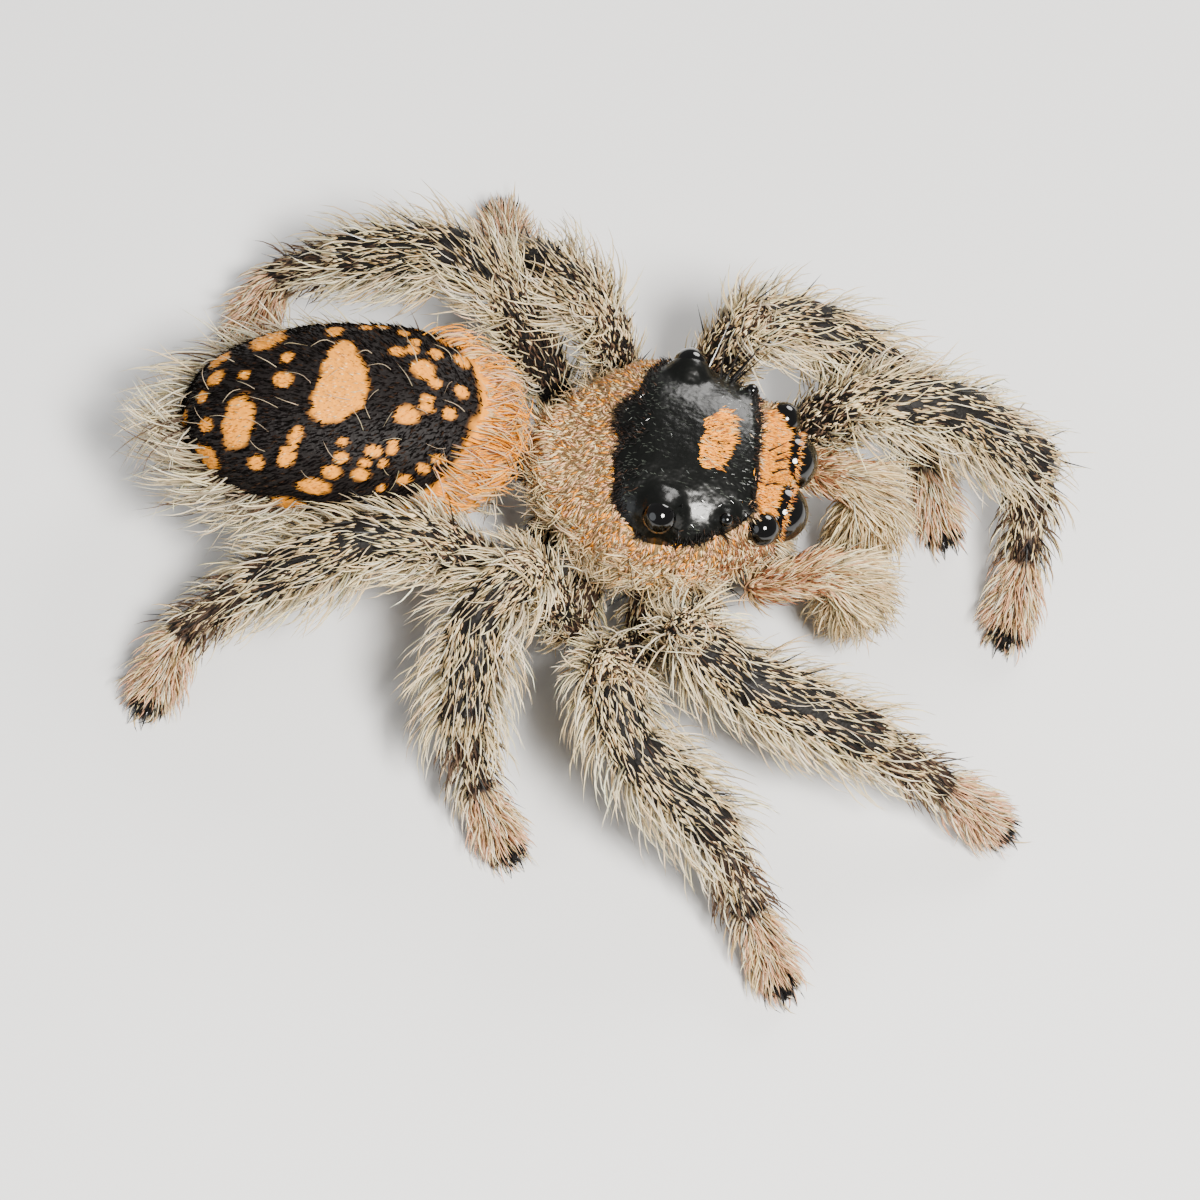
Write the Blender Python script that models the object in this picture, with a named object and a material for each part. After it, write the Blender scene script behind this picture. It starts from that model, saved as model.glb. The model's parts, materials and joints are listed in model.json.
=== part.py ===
"""A regal jumping spider at life size, standing still in the pose of the photograph.

Lengths are in metres. X runs forward through the head, Y to the animal's left and Z up.
The floor is at height zero and every foot rests on it with a small flat.
Each part of the body is one closed solid, and neighbours keep a thin gap where they meet.
The long coat is made of flat, tapered, bent locks that are joined to the part they grow from.
"""

import math
import random
from dataclasses import dataclass

import bmesh
import bpy
import numpy as np
from mathutils import Vector
from mathutils.bvhtree import BVHTree

MM = 0.001
GAP = 0.1 * MM
EYE_GAP = 0.05 * MM
SEED = 7

# Head and thorax
CARAPACE_CENTRE = Vector((0.29, 0.0, 1.95)) * MM
CARAPACE_HALF_LENGTH = 1.75 * MM
CARAPACE_HALF_WIDTH = 1.56 * MM
CARAPACE_RISE = 1.13 * MM
CARAPACE_DROP = 0.68 * MM
CARAPACE_SQUARENESS = 2.7
CLYPEUS_LIFT = 0.42 * MM
CARAPACE_RINGS = (24, 14)

STERNUM_CENTRE = Vector((0.05, 0.0, 0.85)) * MM
STERNUM_HALF = Vector((1.22, 0.6, 0.24)) * MM

# Abdomen
ABDOMEN_CENTRE = Vector((-3.68, -0.28, 1.82)) * MM
ABDOMEN_HALF = Vector((1.98, 1.36, 1.2)) * MM
ABDOMEN_BACK_STRETCH = 1.22
ABDOMEN_SQUARENESS = 2.25
ABDOMEN_SWING = math.radians(12)
ABDOMEN_TILT = math.radians(3)
ABDOMEN_RINGS = (22, 12)
PEDICEL_RADIUS = 0.18 * MM
PEDICEL_START = Vector((-1.22, 0.0, 1.25)) * MM

# Eyes: radius, place on the right-hand side mirrored to the left, and rings
EYES = {
    "eye_front_middle": (0.385, (1.78, 0.40, 2.34), (12, 8)),
    "eye_front_side": (0.225, (1.58, 0.86, 2.58), (10, 6)),
    "eye_rear_small": (0.09, (1.08, 1.01, 2.82), (8, 4)),
    "eye_rear_side": (0.225, (0.23, 1.19, 2.8), (10, 6)),
}

# Legs: lengths of femur, patella, tibia, metatarsus and tarsus for each pair
LENGTHS = {
    1: (1.72, 1.0, 1.9, 1.25, 1.05),
    2: (1.75, 1.0, 1.55, 1.15, 1.0),
    3: (1.6, 0.8, 1.35, 1.0, 0.9),
    4: (1.7, 0.82, 1.6, 1.2, 1.02),
}
# Radii of coxa, femur, patella, tibia, metatarsus and tarsus for each pair, over the short coat
RADII = {
    1: (0.28, 0.47, 0.46, 0.5, 0.31, 0.27),
    2: (0.28, 0.43, 0.43, 0.46, 0.29, 0.26),
    3: (0.28, 0.4, 0.41, 0.43, 0.27, 0.25),
    4: (0.28, 0.43, 0.42, 0.45, 0.29, 0.26),
}
COXA_HEIGHT = 0.85 * MM
FOOT_HEIGHT = 0.16 * MM
COXA_X = {1: 1.08, 2: 0.38, 3: -0.32, 4: -1.02}
LEG_SIDES = 8
# How full each length of the leg is along the way, as shares of its length and of its radius
FULLNESS = {
    "coxa": ((0.3, 1.0), (0.8, 1.0)),
    "femur": ((0.35, 0.86), (0.6, 1.0), (0.85, 0.97)),
    "patella": ((0.3, 1.0), (0.65, 1.0)),
    "tibia": ((0.25, 1.0), (0.55, 1.0), (0.85, 0.86)),
    "metatarsus": ((0.3, 1.0), (0.7, 0.88)),
    "tarsus": ((0.3, 0.88), (0.62, 1.0), (0.86, 0.96)),
}
SEGMENTS = tuple(FULLNESS)
JOINT_WAIST = 0.86


@dataclass(frozen=True)
class LegPose:
    """How one leg stands: heading of each length from straight ahead, and rise of all but the last."""

    pair: int
    side: int
    hip_end: tuple
    heading: tuple
    rise: tuple


POSES = {
    "leg_right_1": LegPose(1, -1, (1.2, 1.8), (109, 6, 3, 3, 9), (62, -38, -16, -26)),
    "leg_right_2": LegPose(2, -1, (0.45, 2.0), (110, 57, 20, 47, 50), (43, -17, -26, -28)),
    "leg_right_3": LegPose(3, -1, (-0.45, 1.95), (169, 130, 83, 54, 47), (59, -18, -33, -47)),
    "leg_right_4": LegPose(4, -1, (-1.3, 1.6), (164, 171, 156, 142, 105), (46, 1, -29, -32)),
    "leg_left_1": LegPose(1, 1, (1.75, 1.6), (-3, 10, 10, -80, -90), (61, 6, -39, -28)),
    "leg_left_2": LegPose(2, 1, (0.5, 2.05), (15, 36, -5, -47, -52), (76, -24, -25, -37)),
    "leg_left_3": LegPose(3, 1, (-0.45, 1.95), (172, 153, 110, 103, 106), (65, 4, -56, -49)),
    "leg_left_4": LegPose(4, 1, (-1.3, 1.6), (162, 142, 180, 177, 251), (53, 1, -26, -46)),
}
LEG_PARTS = {
    "upper": ("coxa", "femur"),
    "middle": ("patella", "tibia"),
    "foot": ("metatarsus", "tarsus"),
}

# Feelers and jaws, right-hand side mirrored to the left
PALP_PATH = ((1.66, 1.0, 1.34), (2.5, 0.76, 1.74), (2.92, 0.74, 1.66), (3.04, 0.62, 1.2), (2.98, 0.5, 0.62))
PALP_RADII = (0.17, 0.23, 0.26, 0.33, 0.2)
JAW_PATH = ((1.66, 0.36, 1.5), (1.86, 0.36, 1.16), (1.94, 0.35, 0.72))
JAW_RADII = (0.27, 0.28, 0.2)
FANG_PATH = ((1.9, 0.32, 0.44), (1.86, 0.28, 0.32), (1.74, 0.2, 0.24))
FANG_RADII = (0.09, 0.07, 0.03)

SPINNERET_RADIUS = 0.2 * MM

# Locks of the long coat
LOCK_WIDTH = 0.48 * MM
LOCK_THICK = 0.27 * MM
LOCK_SINK = 0.17 * MM
LOCK_SHARES = ((0.58, 0.8),)
LOCK_CLEARANCE = 1.25
LOCK_TRIES = ((1.0, 0.0), (0.85, 0.2), (0.7, 0.0), (0.7, 0.35), (0.55, 0.2))


@dataclass(frozen=True)
class Row:
    """A row of locks: angle around the limb from its top, count, span along it, length and lift."""

    angle: float
    count: int
    start: float
    end: float
    length: float
    lift: float


LIMB_ROWS = {
    "upper": (
        Row(-70, 2, 0.55, 0.8, 0.55, 42),
        Row(70, 2, 0.6, 0.85, 0.55, 42),
        Row(0, 2, 0.5, 0.76, 0.5, 50),
    ),
    "middle": (
        Row(-118, 2, 0.36, 0.76, 0.72, 48),
        Row(-68, 4, 0.12, 0.9, 0.78, 46),
        Row(68, 4, 0.16, 0.92, 0.78, 46),
        Row(118, 2, 0.36, 0.76, 0.72, 48),
        Row(0, 3, 0.12, 0.62, 0.5, 50),
    ),
    "foot": (
        Row(-85, 3, 0.14, 0.62, 0.55, 40),
        Row(85, 3, 0.22, 0.7, 0.55, 40),
    ),
    "palp": (
        Row(-80, 3, 0.34, 0.8, 0.45, 42),
        Row(80, 3, 0.3, 0.76, 0.45, 42),
        Row(0, 3, 0.22, 0.68, 0.42, 38),
    ),
}
# Fringe rows: height angle, count, first heading, last heading, lengths, lift
ABDOMEN_ROWS = (
    (12, 18, -148, 148, 0.55, 1.0, 50),
    (-18, 17, -138, 138, 0.5, 0.94, 46),
    (36, 8, -78, 78, 0.45, 0.62, 38),
    (26, 7, 154, 206, 0.42, 0.42, 26),
)
CARAPACE_ROWS = ((-5, 22, -164, 164, 0.4, 0.5, 34), (30, 5, 150, 210, 0.36, 0.4, 26))
# Tufts of long bristles beside the rear eyes: heading, height angle and length
HEAD_TUFTS = ((72, 43, 1.02), (79, 33, 0.85), (65, 35, 0.75), (-72, 42, 0.5), (-65, 34, 0.45))
TUFT_SLIM = 0.5
TUFT_LIFT = 76

COLOURS = {
    "coat_tan": ((0.52, 0.36, 0.2), 0.75),
    "coat_cream": ((0.66, 0.55, 0.4), 0.75),
    "velvet_black": ((0.03, 0.026, 0.026), 0.8),
    "shell_black": ((0.05, 0.042, 0.036), 0.5),
    "eye_black": ((0.006, 0.006, 0.008), 0.05),
    "horn_brown": ((0.12, 0.04, 0.02), 0.35),
}


def clear_scene():
    """Remove every object, so that the script can be run again."""
    for obj in list(bpy.data.objects):
        bpy.data.objects.remove(obj, do_unlink=True)


def make_materials():
    """Return one plain shaded material for each named colour."""
    made = {}
    for name, (colour, roughness) in COLOURS.items():
        material = bpy.data.materials.new(name)
        material.use_nodes = True
        shader = material.node_tree.nodes["Principled BSDF"]
        shader.inputs["Base Color"].default_value = (*colour, 1.0)
        shader.inputs["Roughness"].default_value = roughness
        shader.inputs["Metallic"].default_value = 0.0
        made[name] = material
    return made


def smooth(value):
    """Ease a share from 0 to 1, held at both ends."""
    value = min(max(value, 0.0), 1.0)
    return value * value * (3.0 - 2.0 * value)


def carapace_point(way):
    """Return the point of the carapace seen from its centre along a unit direction."""
    power = CARAPACE_SQUARENESS
    reach = (abs(way.x) ** power + abs(way.y) ** power + abs(way.z) ** power) ** (-1.0 / power)
    x, y, z = way * reach
    front = smooth((x - 0.1) / 0.9)
    rear = smooth((-x - 0.05) / 0.95)
    width = CARAPACE_HALF_WIDTH * (1.0 - 0.14 * front - 0.34 * rear * rear)
    if z > 0:
        height = CARAPACE_RISE * (1.0 - 0.1 * smooth((x - 0.45) / 0.55))
        height *= 1.0 - 0.72 * smooth((-x - 0.15) / 0.85) ** 1.3
        width *= 1.0 - 0.12 * z * z
    else:
        height = CARAPACE_DROP
    lift = CLYPEUS_LIFT * smooth((x - 0.35) / 0.6) * smooth(0.5 - z)
    spot = Vector((x * CARAPACE_HALF_LENGTH, y * width, z * height + lift))
    return CARAPACE_CENTRE + spot


def abdomen_axes():
    """Return the abdomen's backward, rightward and upward directions."""
    back = Vector((-math.cos(ABDOMEN_SWING), -math.sin(ABDOMEN_SWING), 0.0))
    back = (back * math.cos(ABDOMEN_TILT) - Vector((0, 0, math.sin(ABDOMEN_TILT)))).normalized()
    right = Vector((0, 0, 1)).cross(back).normalized()
    up = back.cross(right)
    return back, right, up


def abdomen_point(way):
    """Return the abdomen's surface point for a unit direction given as backward, right and up."""
    back, right, up = abdomen_axes()
    power = ABDOMEN_SQUARENESS
    reach = (abs(way.x) ** power + abs(way.y) ** power + abs(way.z) ** power) ** (-1.0 / power)
    x, y, z = way * reach
    width = ABDOMEN_HALF.y * (1.0 - 0.06 * smooth(x) * x)
    height = ABDOMEN_HALF.z * (1.0 if z > 0 else 0.94)
    length = ABDOMEN_HALF.x * (ABDOMEN_BACK_STRETCH if x > 0 else 1.0)
    spot = back * (x * length) + right * (y * width) + up * (z * height)
    return ABDOMEN_CENTRE + spot


def surface_normal(shape, way):
    """Return the outward normal of a shape function at a unit direction."""
    first = way.orthogonal().normalized()
    second = way.cross(first)
    step = 0.02
    a = shape((way + first * step).normalized()) - shape((way - first * step).normalized())
    b = shape((way + second * step).normalized()) - shape((way - second * step).normalized())
    normal = a.cross(b).normalized()
    return normal if normal.dot(shape(way) - shape(-way)) > 0 else -normal


def blob_mesh(shape, rings, pole=Vector((0, 0, 1))):
    """Build a closed mesh from a ball whose points are moved by a shape function."""
    bm = bmesh.new()
    bmesh.ops.create_uvsphere(bm, u_segments=rings[0], v_segments=rings[1], radius=1.0)
    turn = Vector((0, 0, 1)).rotation_difference(pole)
    for vert in bm.verts:
        vert.co = shape((turn @ vert.co).normalized())
    return bm


def tube_mesh(points, radii, sides):
    """Loft a closed tube through points, with a fan at each end."""
    points = [Vector(p) for p in points]
    bm = bmesh.new()
    side = None
    rings = []
    for i, centre in enumerate(points):
        after = points[min(i + 1, len(points) - 1)]
        before = points[max(i - 1, 0)]
        ahead = (after - before).normalized()
        if side is None:
            side = ahead.cross(Vector((0.13, 0.21, 1.0))).normalized()
        side = (side - ahead * side.dot(ahead)).normalized()
        up = side.cross(ahead)
        ring = []
        for k in range(sides):
            angle = math.tau * (k + 0.5) / sides
            ring.append(bm.verts.new(centre + (side * math.cos(angle) + up * math.sin(angle)) * radii[i]))
        rings.append(ring)
    for low, high in zip(rings, rings[1:]):
        for k in range(sides):
            bm.faces.new((low[k], low[(k + 1) % sides], high[(k + 1) % sides], high[k]))
    for ring, centre in ((rings[0], points[0]), (rings[-1], points[-1])):
        hub = bm.verts.new(centre)
        for k in range(sides):
            bm.faces.new((hub, ring[k], ring[(k + 1) % sides]))
    bmesh.ops.recalc_face_normals(bm, faces=bm.faces)
    return bm


def round_ends(points, radii, start=True, end=True):
    """Add narrowing rings beyond the ends of a tube, so that it ends in a dome."""
    points, radii = list(points), list(radii)
    shares = ((0.62, 0.78), (0.94, 0.34))
    if start:
        back = (points[0] - points[1]).normalized()
        first, size = points[0], radii[0]
        for reach, share in shares:
            points.insert(0, first + back * (size * reach))
            radii.insert(0, size * share)
    if end:
        ahead = (points[-1] - points[-2]).normalized()
        last, size = points[-1], radii[-1]
        for reach, share in shares:
            points.append(last + ahead * (size * reach))
            radii.append(size * share)
    return points, radii


def trim(bm, spot, normal):
    """Cut away what lies beyond a plane and close the cut with a fan."""
    geometry = bm.verts[:] + bm.edges[:] + bm.faces[:]
    cut = bmesh.ops.bisect_plane(
        bm, geom=geometry, dist=1e-9, plane_co=spot, plane_no=normal, clear_outer=True
    )
    edges = [item for item in cut["geom_cut"] if isinstance(item, bmesh.types.BMEdge)]
    if not edges:
        return
    bmesh.ops.holes_fill(bm, edges=edges, sides=0)
    big = [face for face in bm.faces if len(face.verts) > 4]
    bmesh.ops.triangulate(bm, faces=big)
    bmesh.ops.recalc_face_normals(bm, faces=bm.faces)


def leg_joints(pose):
    """Return the seven joint points of a leg, from the body to the tip."""
    hip_x = COXA_X[pose.pair]
    share = (hip_x * MM - STERNUM_CENTRE.x) / STERNUM_HALF.x
    inner = STERNUM_HALF.y * math.sqrt(max(1.0 - share * share, 0.0)) + GAP + 0.04 * MM
    inner = max(inner, RADII[pose.pair][0] * MM + 0.6 * GAP)
    joints = [Vector((hip_x * MM, pose.side * inner, COXA_HEIGHT))]
    end = Vector((pose.hip_end[0], pose.side * pose.hip_end[1], 0)) * MM
    end.z = COXA_HEIGHT
    joints.append(end)
    lengths = LENGTHS[pose.pair]
    for k, length in enumerate(lengths):
        length *= MM
        if k < len(pose.rise):
            rise = math.radians(pose.rise[k])
        else:
            rise = math.asin((FOOT_HEIGHT - joints[-1].z) / length)
        heading = math.radians(pose.heading[k]) * pose.side
        flat = math.cos(rise)
        way = Vector((flat * math.cos(heading), flat * math.sin(heading), math.sin(rise)))
        joints.append(joints[-1] + way * length)
    return joints


def leg_part_path(joints, radii, first):
    """Return tube points and radii for two neighbouring lengths of a leg, with the bend eased."""
    names = SEGMENTS[first : first + 2]
    start, bend, end = joints[first : first + 3]
    before, after = (bend - start).normalized(), (end - bend).normalized()
    size = [radii[first] * MM, radii[first + 1] * MM]
    angle = before.angle(after)
    spread = min(max(min(size) * math.tan(angle / 2) * 1.1, 0.1 * MM), 0.42 * (bend - start).length)
    spread = min(spread, 0.42 * (end - bend).length)
    points, sizes = [start], [size[0] * (1.0 if first == 0 else JOINT_WAIST)]
    for share, full in FULLNESS[names[0]]:
        spot = start.lerp(bend, share)
        if (bend - spot).length > spread * 1.25:
            points.append(spot)
            sizes.append(size[0] * full)
    waist = min(size) * (0.9 if first != 0 else 1.0)
    early, late = bend - before * spread, bend + after * spread
    points += [early, early.lerp(bend, 0.5).lerp(bend.lerp(late, 0.5), 0.5), late]
    sizes += [(waist + size[0]) / 2, waist, (waist + size[1]) / 2]
    for share, full in FULLNESS[names[1]]:
        spot = bend.lerp(end, share)
        if (spot - bend).length > spread * 1.25:
            points.append(spot)
            sizes.append(size[1] * full)
    points.append(end)
    sizes.append(size[1] * (JOINT_WAIST if first < 4 else 0.8))
    return points, sizes


def leg_meshes(pose):
    """Return the three closed meshes of one leg and the paths that they follow."""
    joints = leg_joints(pose)
    made = {}
    for index, part in enumerate(LEG_PARTS):
        first = 2 * index
        points, sizes = leg_part_path(joints, RADII[pose.pair], first)
        ends, widths = round_ends(points, sizes, start=first > 0)
        bm = tube_mesh(ends, widths, LEG_SIDES)
        if first > 0:
            normal = joint_normal(joints, first)
            trim(bm, joints[first] + normal * (GAP / 2), -normal)
        if first < 4:
            normal = joint_normal(joints, first + 2)
            trim(bm, joints[first + 2] - normal * (GAP / 2), normal)
        for vert in bm.verts:
            vert.co.z = max(vert.co.z, 0.0)
        made[part] = (bm, points, sizes)
    return made


def joint_normal(joints, index):
    """Return the direction that halves the bend at a joint, pointing to the tip."""
    before = (joints[index] - joints[index - 1]).normalized()
    after = (joints[index + 1] - joints[index]).normalized()
    return (before + after).normalized()


def mirrored(path, side):
    """Return millimetre points as metres, on the asked side of the body."""
    return [Vector((x, y * side, z)) * MM for x, y, z in path]


def to_object(bm, name, material, parent, location=None):
    """Make a named, smoothly shaded object from a mesh under construction."""
    mesh = bpy.data.meshes.new(name)
    bm.to_mesh(mesh)
    bm.free()
    for polygon in mesh.polygons:
        polygon.use_smooth = True
    mesh.materials.append(material)
    obj = bpy.data.objects.new(name, mesh)
    bpy.context.scene.collection.objects.link(obj)
    obj.parent = parent
    if location is not None:
        obj.location = location
    return obj


def helper_collection(name):
    """Return a collection for cutters and pieces that aren't part of the model."""
    helpers = bpy.data.collections.new(name)
    helpers.hide_render = True
    bpy.context.scene.collection.children.link(helpers)
    return helpers


def apply_modifiers(obj):
    """Turn an object's modifiers into plain mesh."""
    bpy.context.view_layer.update()
    graph = bpy.context.evaluated_depsgraph_get()
    mesh = bpy.data.meshes.new_from_object(obj.evaluated_get(graph))
    old = obj.data
    obj.modifiers.clear()
    obj.data = mesh
    mesh.name = old.name
    bpy.data.meshes.remove(old)


def keep_largest(obj):
    """Keep only the biggest closed surface of a mesh."""
    bm = bmesh.new()
    bm.from_mesh(obj.data)
    bmesh.ops.triangulate(bm, faces=bm.faces)
    left = set(bm.faces)
    shells = []
    while left:
        seed = left.pop()
        shell, queue = [seed], [seed]
        while queue:
            face = queue.pop()
            for edge in face.edges:
                for other in edge.link_faces:
                    if other in left:
                        left.remove(other)
                        shell.append(other)
                        queue.append(other)
        shells.append(shell)
    shells.sort(key=lambda shell: sum(face.calc_area() for face in shell))
    dropped = [face for shell in shells[:-1] for face in shell]
    if dropped:
        bmesh.ops.delete(bm, geom=dropped, context="FACES")
    for face in bm.faces:
        face.smooth = True
    bm.to_mesh(obj.data)
    bm.free()
    return len(shells) - 1


def boolean_with(obj, helpers, operation):
    """Join or cut an object with everything in a helper collection, and empty the collection."""
    modifier = obj.modifiers.new(operation.lower(), "BOOLEAN")
    modifier.operand_type = "COLLECTION"
    modifier.collection = helpers
    modifier.operation = operation
    modifier.solver = "EXACT"
    apply_modifiers(obj)
    for piece in list(helpers.objects):
        mesh = piece.data
        bpy.data.objects.remove(piece, do_unlink=True)
        bpy.data.meshes.remove(mesh)
    return keep_largest(obj)


def add_helper(bm, helpers, name):
    """Put a mesh in a helper collection as a wire-drawn, unrendered piece."""
    mesh = bpy.data.meshes.new(name)
    bm.to_mesh(mesh)
    bm.free()
    piece = bpy.data.objects.new(name, mesh)
    piece.display_type = "WIRE"
    piece.hide_render = True
    helpers.objects.link(piece)
    return piece


def eye_places():
    """Yield the name, radius, centre and rings of each of the eight eyes."""
    for name, (radius, (x, y, z), rings) in EYES.items():
        for word, side in (("right", -1), ("left", 1)):
            yield f"{name}_{word}", radius * MM, Vector((x, y * side, z)) * MM, rings


def add_body(parts, root, materials, helpers):
    """Make the carapace, sternum, waist, abdomen, spinnerets and eyes."""
    bm = blob_mesh(carapace_point, CARAPACE_RINGS)
    carapace = to_object(bm, "carapace", materials["shell_black"], root)
    for name, radius, centre, rings in eye_places():
        socket = bmesh.new()
        bmesh.ops.create_uvsphere(socket, u_segments=rings[0], v_segments=rings[1], radius=radius + EYE_GAP)
        bmesh.ops.translate(socket, verts=socket.verts, vec=centre)
        add_helper(socket, helpers, f"socket_{name}")
        ball = bmesh.new()
        bmesh.ops.create_uvsphere(ball, u_segments=rings[0], v_segments=rings[1], radius=radius)
        parts[name] = to_object(ball, name, materials["eye_black"], root, centre)
    boolean_with(carapace, helpers, "DIFFERENCE")
    parts["carapace"] = carapace

    def sternum_point(way):
        """Return a point of the flat oval plate between the legs."""
        half = STERNUM_HALF
        return STERNUM_CENTRE + Vector((way.x * half.x, way.y * half.y, way.z * half.z))

    bm = blob_mesh(sternum_point, (14, 6))
    parts["sternum"] = to_object(bm, "sternum", materials["shell_black"], root)
    bm = blob_mesh(abdomen_point, ABDOMEN_RINGS, Vector((1, 0, 0)))
    parts["abdomen"] = to_object(bm, "abdomen", materials["velvet_black"], root)
    way = Vector((-1.0, 0.1, 0.05)).normalized()
    end = tree_of(parts["abdomen"]).ray_cast(PEDICEL_START, way)[0] - way * GAP
    waist = tube_mesh([PEDICEL_START, PEDICEL_START.lerp(end, 0.5), end], [PEDICEL_RADIUS] * 3, 10)
    parts["pedicel"] = to_object(waist, "pedicel", materials["shell_black"], root)
    add_spinnerets(parts, root, materials, helpers)


def add_spinnerets(parts, root, materials, helpers):
    """Make the short cluster of spinnerets behind the abdomen's tip."""
    back, right, up = abdomen_axes()
    tip = abdomen_point(Vector((0.97, 0, -0.24)).normalized())
    base = tip + back * GAP
    path = [base + back * 0.05 * MM, base + back * 0.22 * MM]
    centre = tube_mesh(*round_ends(path, [0.2 * MM, 0.17 * MM]), 8)
    trim(centre, base + back * 0.05 * MM, -back)
    parts["spinnerets"] = to_object(centre, "spinnerets", materials["horn_brown"], root)
    for side in (-1, 1):
        for height in (-0.09, 0.09):
            start = base + back * 0.12 * MM + right * (side * 0.09 * MM) + up * (height * MM)
            end = start + back * 0.24 * MM + right * (side * 0.05 * MM)
            cone = tube_mesh([start, end], [0.08 * MM, 0.05 * MM], 6)
            add_helper(cone, helpers, "spinneret")
    boolean_with(parts["spinnerets"], helpers, "UNION")


def lock_corners(root_spot, outward, lie, length, lift, sway, grow=1.0, bend=0.35):
    """Return the corners and faces of one flat, bent lock that tapers to a point."""
    lie = (lie - outward * lie.dot(outward)).normalized()
    side = outward.cross(lie)
    ahead = lie * math.cos(lift) + outward * math.sin(lift)
    corners = []
    for share, full in ((-LOCK_SINK / length, 1.0), *LOCK_SHARES):
        reach = max(share, 0.0)
        middle = root_spot + ahead * (share * length) + (lie - ahead) * (bend * length * reach * reach)
        middle += side * (sway * length * reach * reach)
        across = side * (0.5 * LOCK_WIDTH * full * grow)
        height = outward * math.cos(lift) - lie * math.sin(lift)
        thick = LOCK_THICK * full * grow
        low = -height * (0.35 * thick)
        high = height * (0.65 * thick)
        corners += [middle - across + low, middle + across + low, middle + high]
    corners.append(root_spot + ahead * length + (lie - ahead) * (bend * length) + side * (sway * length))
    rings = len(LOCK_SHARES) + 1
    faces = [(0, 1, 2)]
    for ring in range(rings - 1):
        base = 3 * ring
        for k in range(3):
            after = (k + 1) % 3
            faces.append((base + k, base + 3 + k, base + 3 + after, base + after))
    base = 3 * (rings - 1)
    faces += [(base + k, 3 * rings, base + (k + 1) % 3) for k in range(3)]
    return corners, faces


class Coat:
    """Grows locks on each part and keeps them clear of every other part and of the floor."""

    def __init__(self, parts, helpers):
        """Remember the plain parts that the locks must stay clear of."""
        self.parts = parts
        self.helpers = helpers
        self.trees = {name: tree_of(obj) for name, obj in parts.items()}
        self.grown = []
        self.dropped = 0

    def is_clear(self, node, corners, faces):
        """Tell whether a fattened lock touches nothing but the part that it grows from."""
        if min(corner.z for corner in corners) < 0.04 * MM:
            return False
        tree = BVHTree.FromPolygons(corners, faces)
        middle = sum(corners, Vector()) / len(corners)
        for name, other in self.trees.items():
            if name != node and tree.overlap(other):
                return False
        for name, other, spot in self.grown:
            if name != node and (spot - middle).length < 1.8 * MM and tree.overlap(other):
                return False
        return True

    def grow(self, node, spot, outward, lie, length, lift, slim=1.0, bend=0.35):
        """Add one lock to a part's helpers, shorter or flatter where it would touch a neighbour."""
        length *= MM * random.uniform(0.86, 1.12)
        lift = math.radians(lift + random.uniform(-7, 7))
        sway = random.uniform(-0.22, 0.22)
        for share, flatter in LOCK_TRIES:
            size, angle = length * share, lift - flatter
            fat, faces = lock_corners(spot, outward, lie, size, angle, sway, LOCK_CLEARANCE * slim, bend)
            if not self.is_clear(node, fat, faces):
                continue
            corners, faces = lock_corners(spot, outward, lie, size, angle, sway, slim, bend)
            self.grown.append((node, BVHTree.FromPolygons(fat, faces), sum(fat, Vector()) / len(fat)))
            bm = bmesh.new()
            verts = [bm.verts.new(corner) for corner in corners]
            for face in faces:
                bm.faces.new([verts[k] for k in face])
            bmesh.ops.recalc_face_normals(bm, faces=bm.faces)
            add_helper(bm, self.helpers, "lock")
            return True
        self.dropped += 1
        return False

    def join(self, node):
        """Join a part with the locks that were grown for it."""
        if len(self.helpers.objects):
            scraps = boolean_with(self.parts[node], self.helpers, "UNION")
            if scraps:
                print(node, "dropped", scraps, "scraps")


def path_spot(points, sizes, share):
    """Return the centre, radius and direction at a share of the way along a limb."""
    steps = [(b - a).length for a, b in zip(points, points[1:])]
    left = share * sum(steps)
    for k, step in enumerate(steps):
        if left <= step or k == len(steps) - 1:
            part = min(left / step, 1.0)
            way = (points[k + 1] - points[k]).normalized()
            return points[k].lerp(points[k + 1], part), sizes[k] + (sizes[k + 1] - sizes[k]) * part, way
        left -= step
    return points[-1], sizes[-1], (points[-1] - points[-2]).normalized()


def coat_limb(coat, node, rows, points, sizes):
    """Grow rows of locks along a limb, lying toward its tip, and join them to it."""
    for row in rows:
        for k in range(row.count):
            step = (row.end - row.start) * (k / max(row.count - 1, 1))
            share = row.start + step + random.uniform(-0.02, 0.02)
            centre, radius, way = path_spot(points, sizes, share)
            side = way.cross(Vector((0, 0, 1))).normalized()
            up = side.cross(way)
            angle = math.radians(row.angle + random.uniform(-9, 9))
            outward = up * math.cos(angle) + side * math.sin(angle)
            coat.grow(node, centre + outward * (radius * 0.93), outward, way, row.length, row.lift)
    coat.join(node)


def coat_abdomen(coat):
    """Grow the pale fringe around the abdomen, longest at the rear."""
    back, right, up = abdomen_axes()
    for height, count, first, last, short, long, lift in ABDOMEN_ROWS:
        for k in range(count):
            heading = math.radians(first + (last - first) * (k / (count - 1)) + random.uniform(-3, 3))
            rise = math.radians(height + random.uniform(-4, 4))
            flat = math.cos(rise)
            way = Vector((math.cos(heading) * flat, math.sin(heading) * flat, math.sin(rise)))
            spot, outward = abdomen_point(way), surface_normal(abdomen_point, way)
            away = back * math.cos(heading) + right * math.sin(heading)
            share = smooth((math.cos(heading) + 1.0) / 1.6)
            lie = away * 0.8 + back * (0.7 * share) - up * (0.35 * share - 0.1)
            length = short + (long - short) * share
            coat.grow("abdomen", spot - outward * 0.03 * MM, outward, lie, length, lift)
    coat.join("abdomen")


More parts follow.
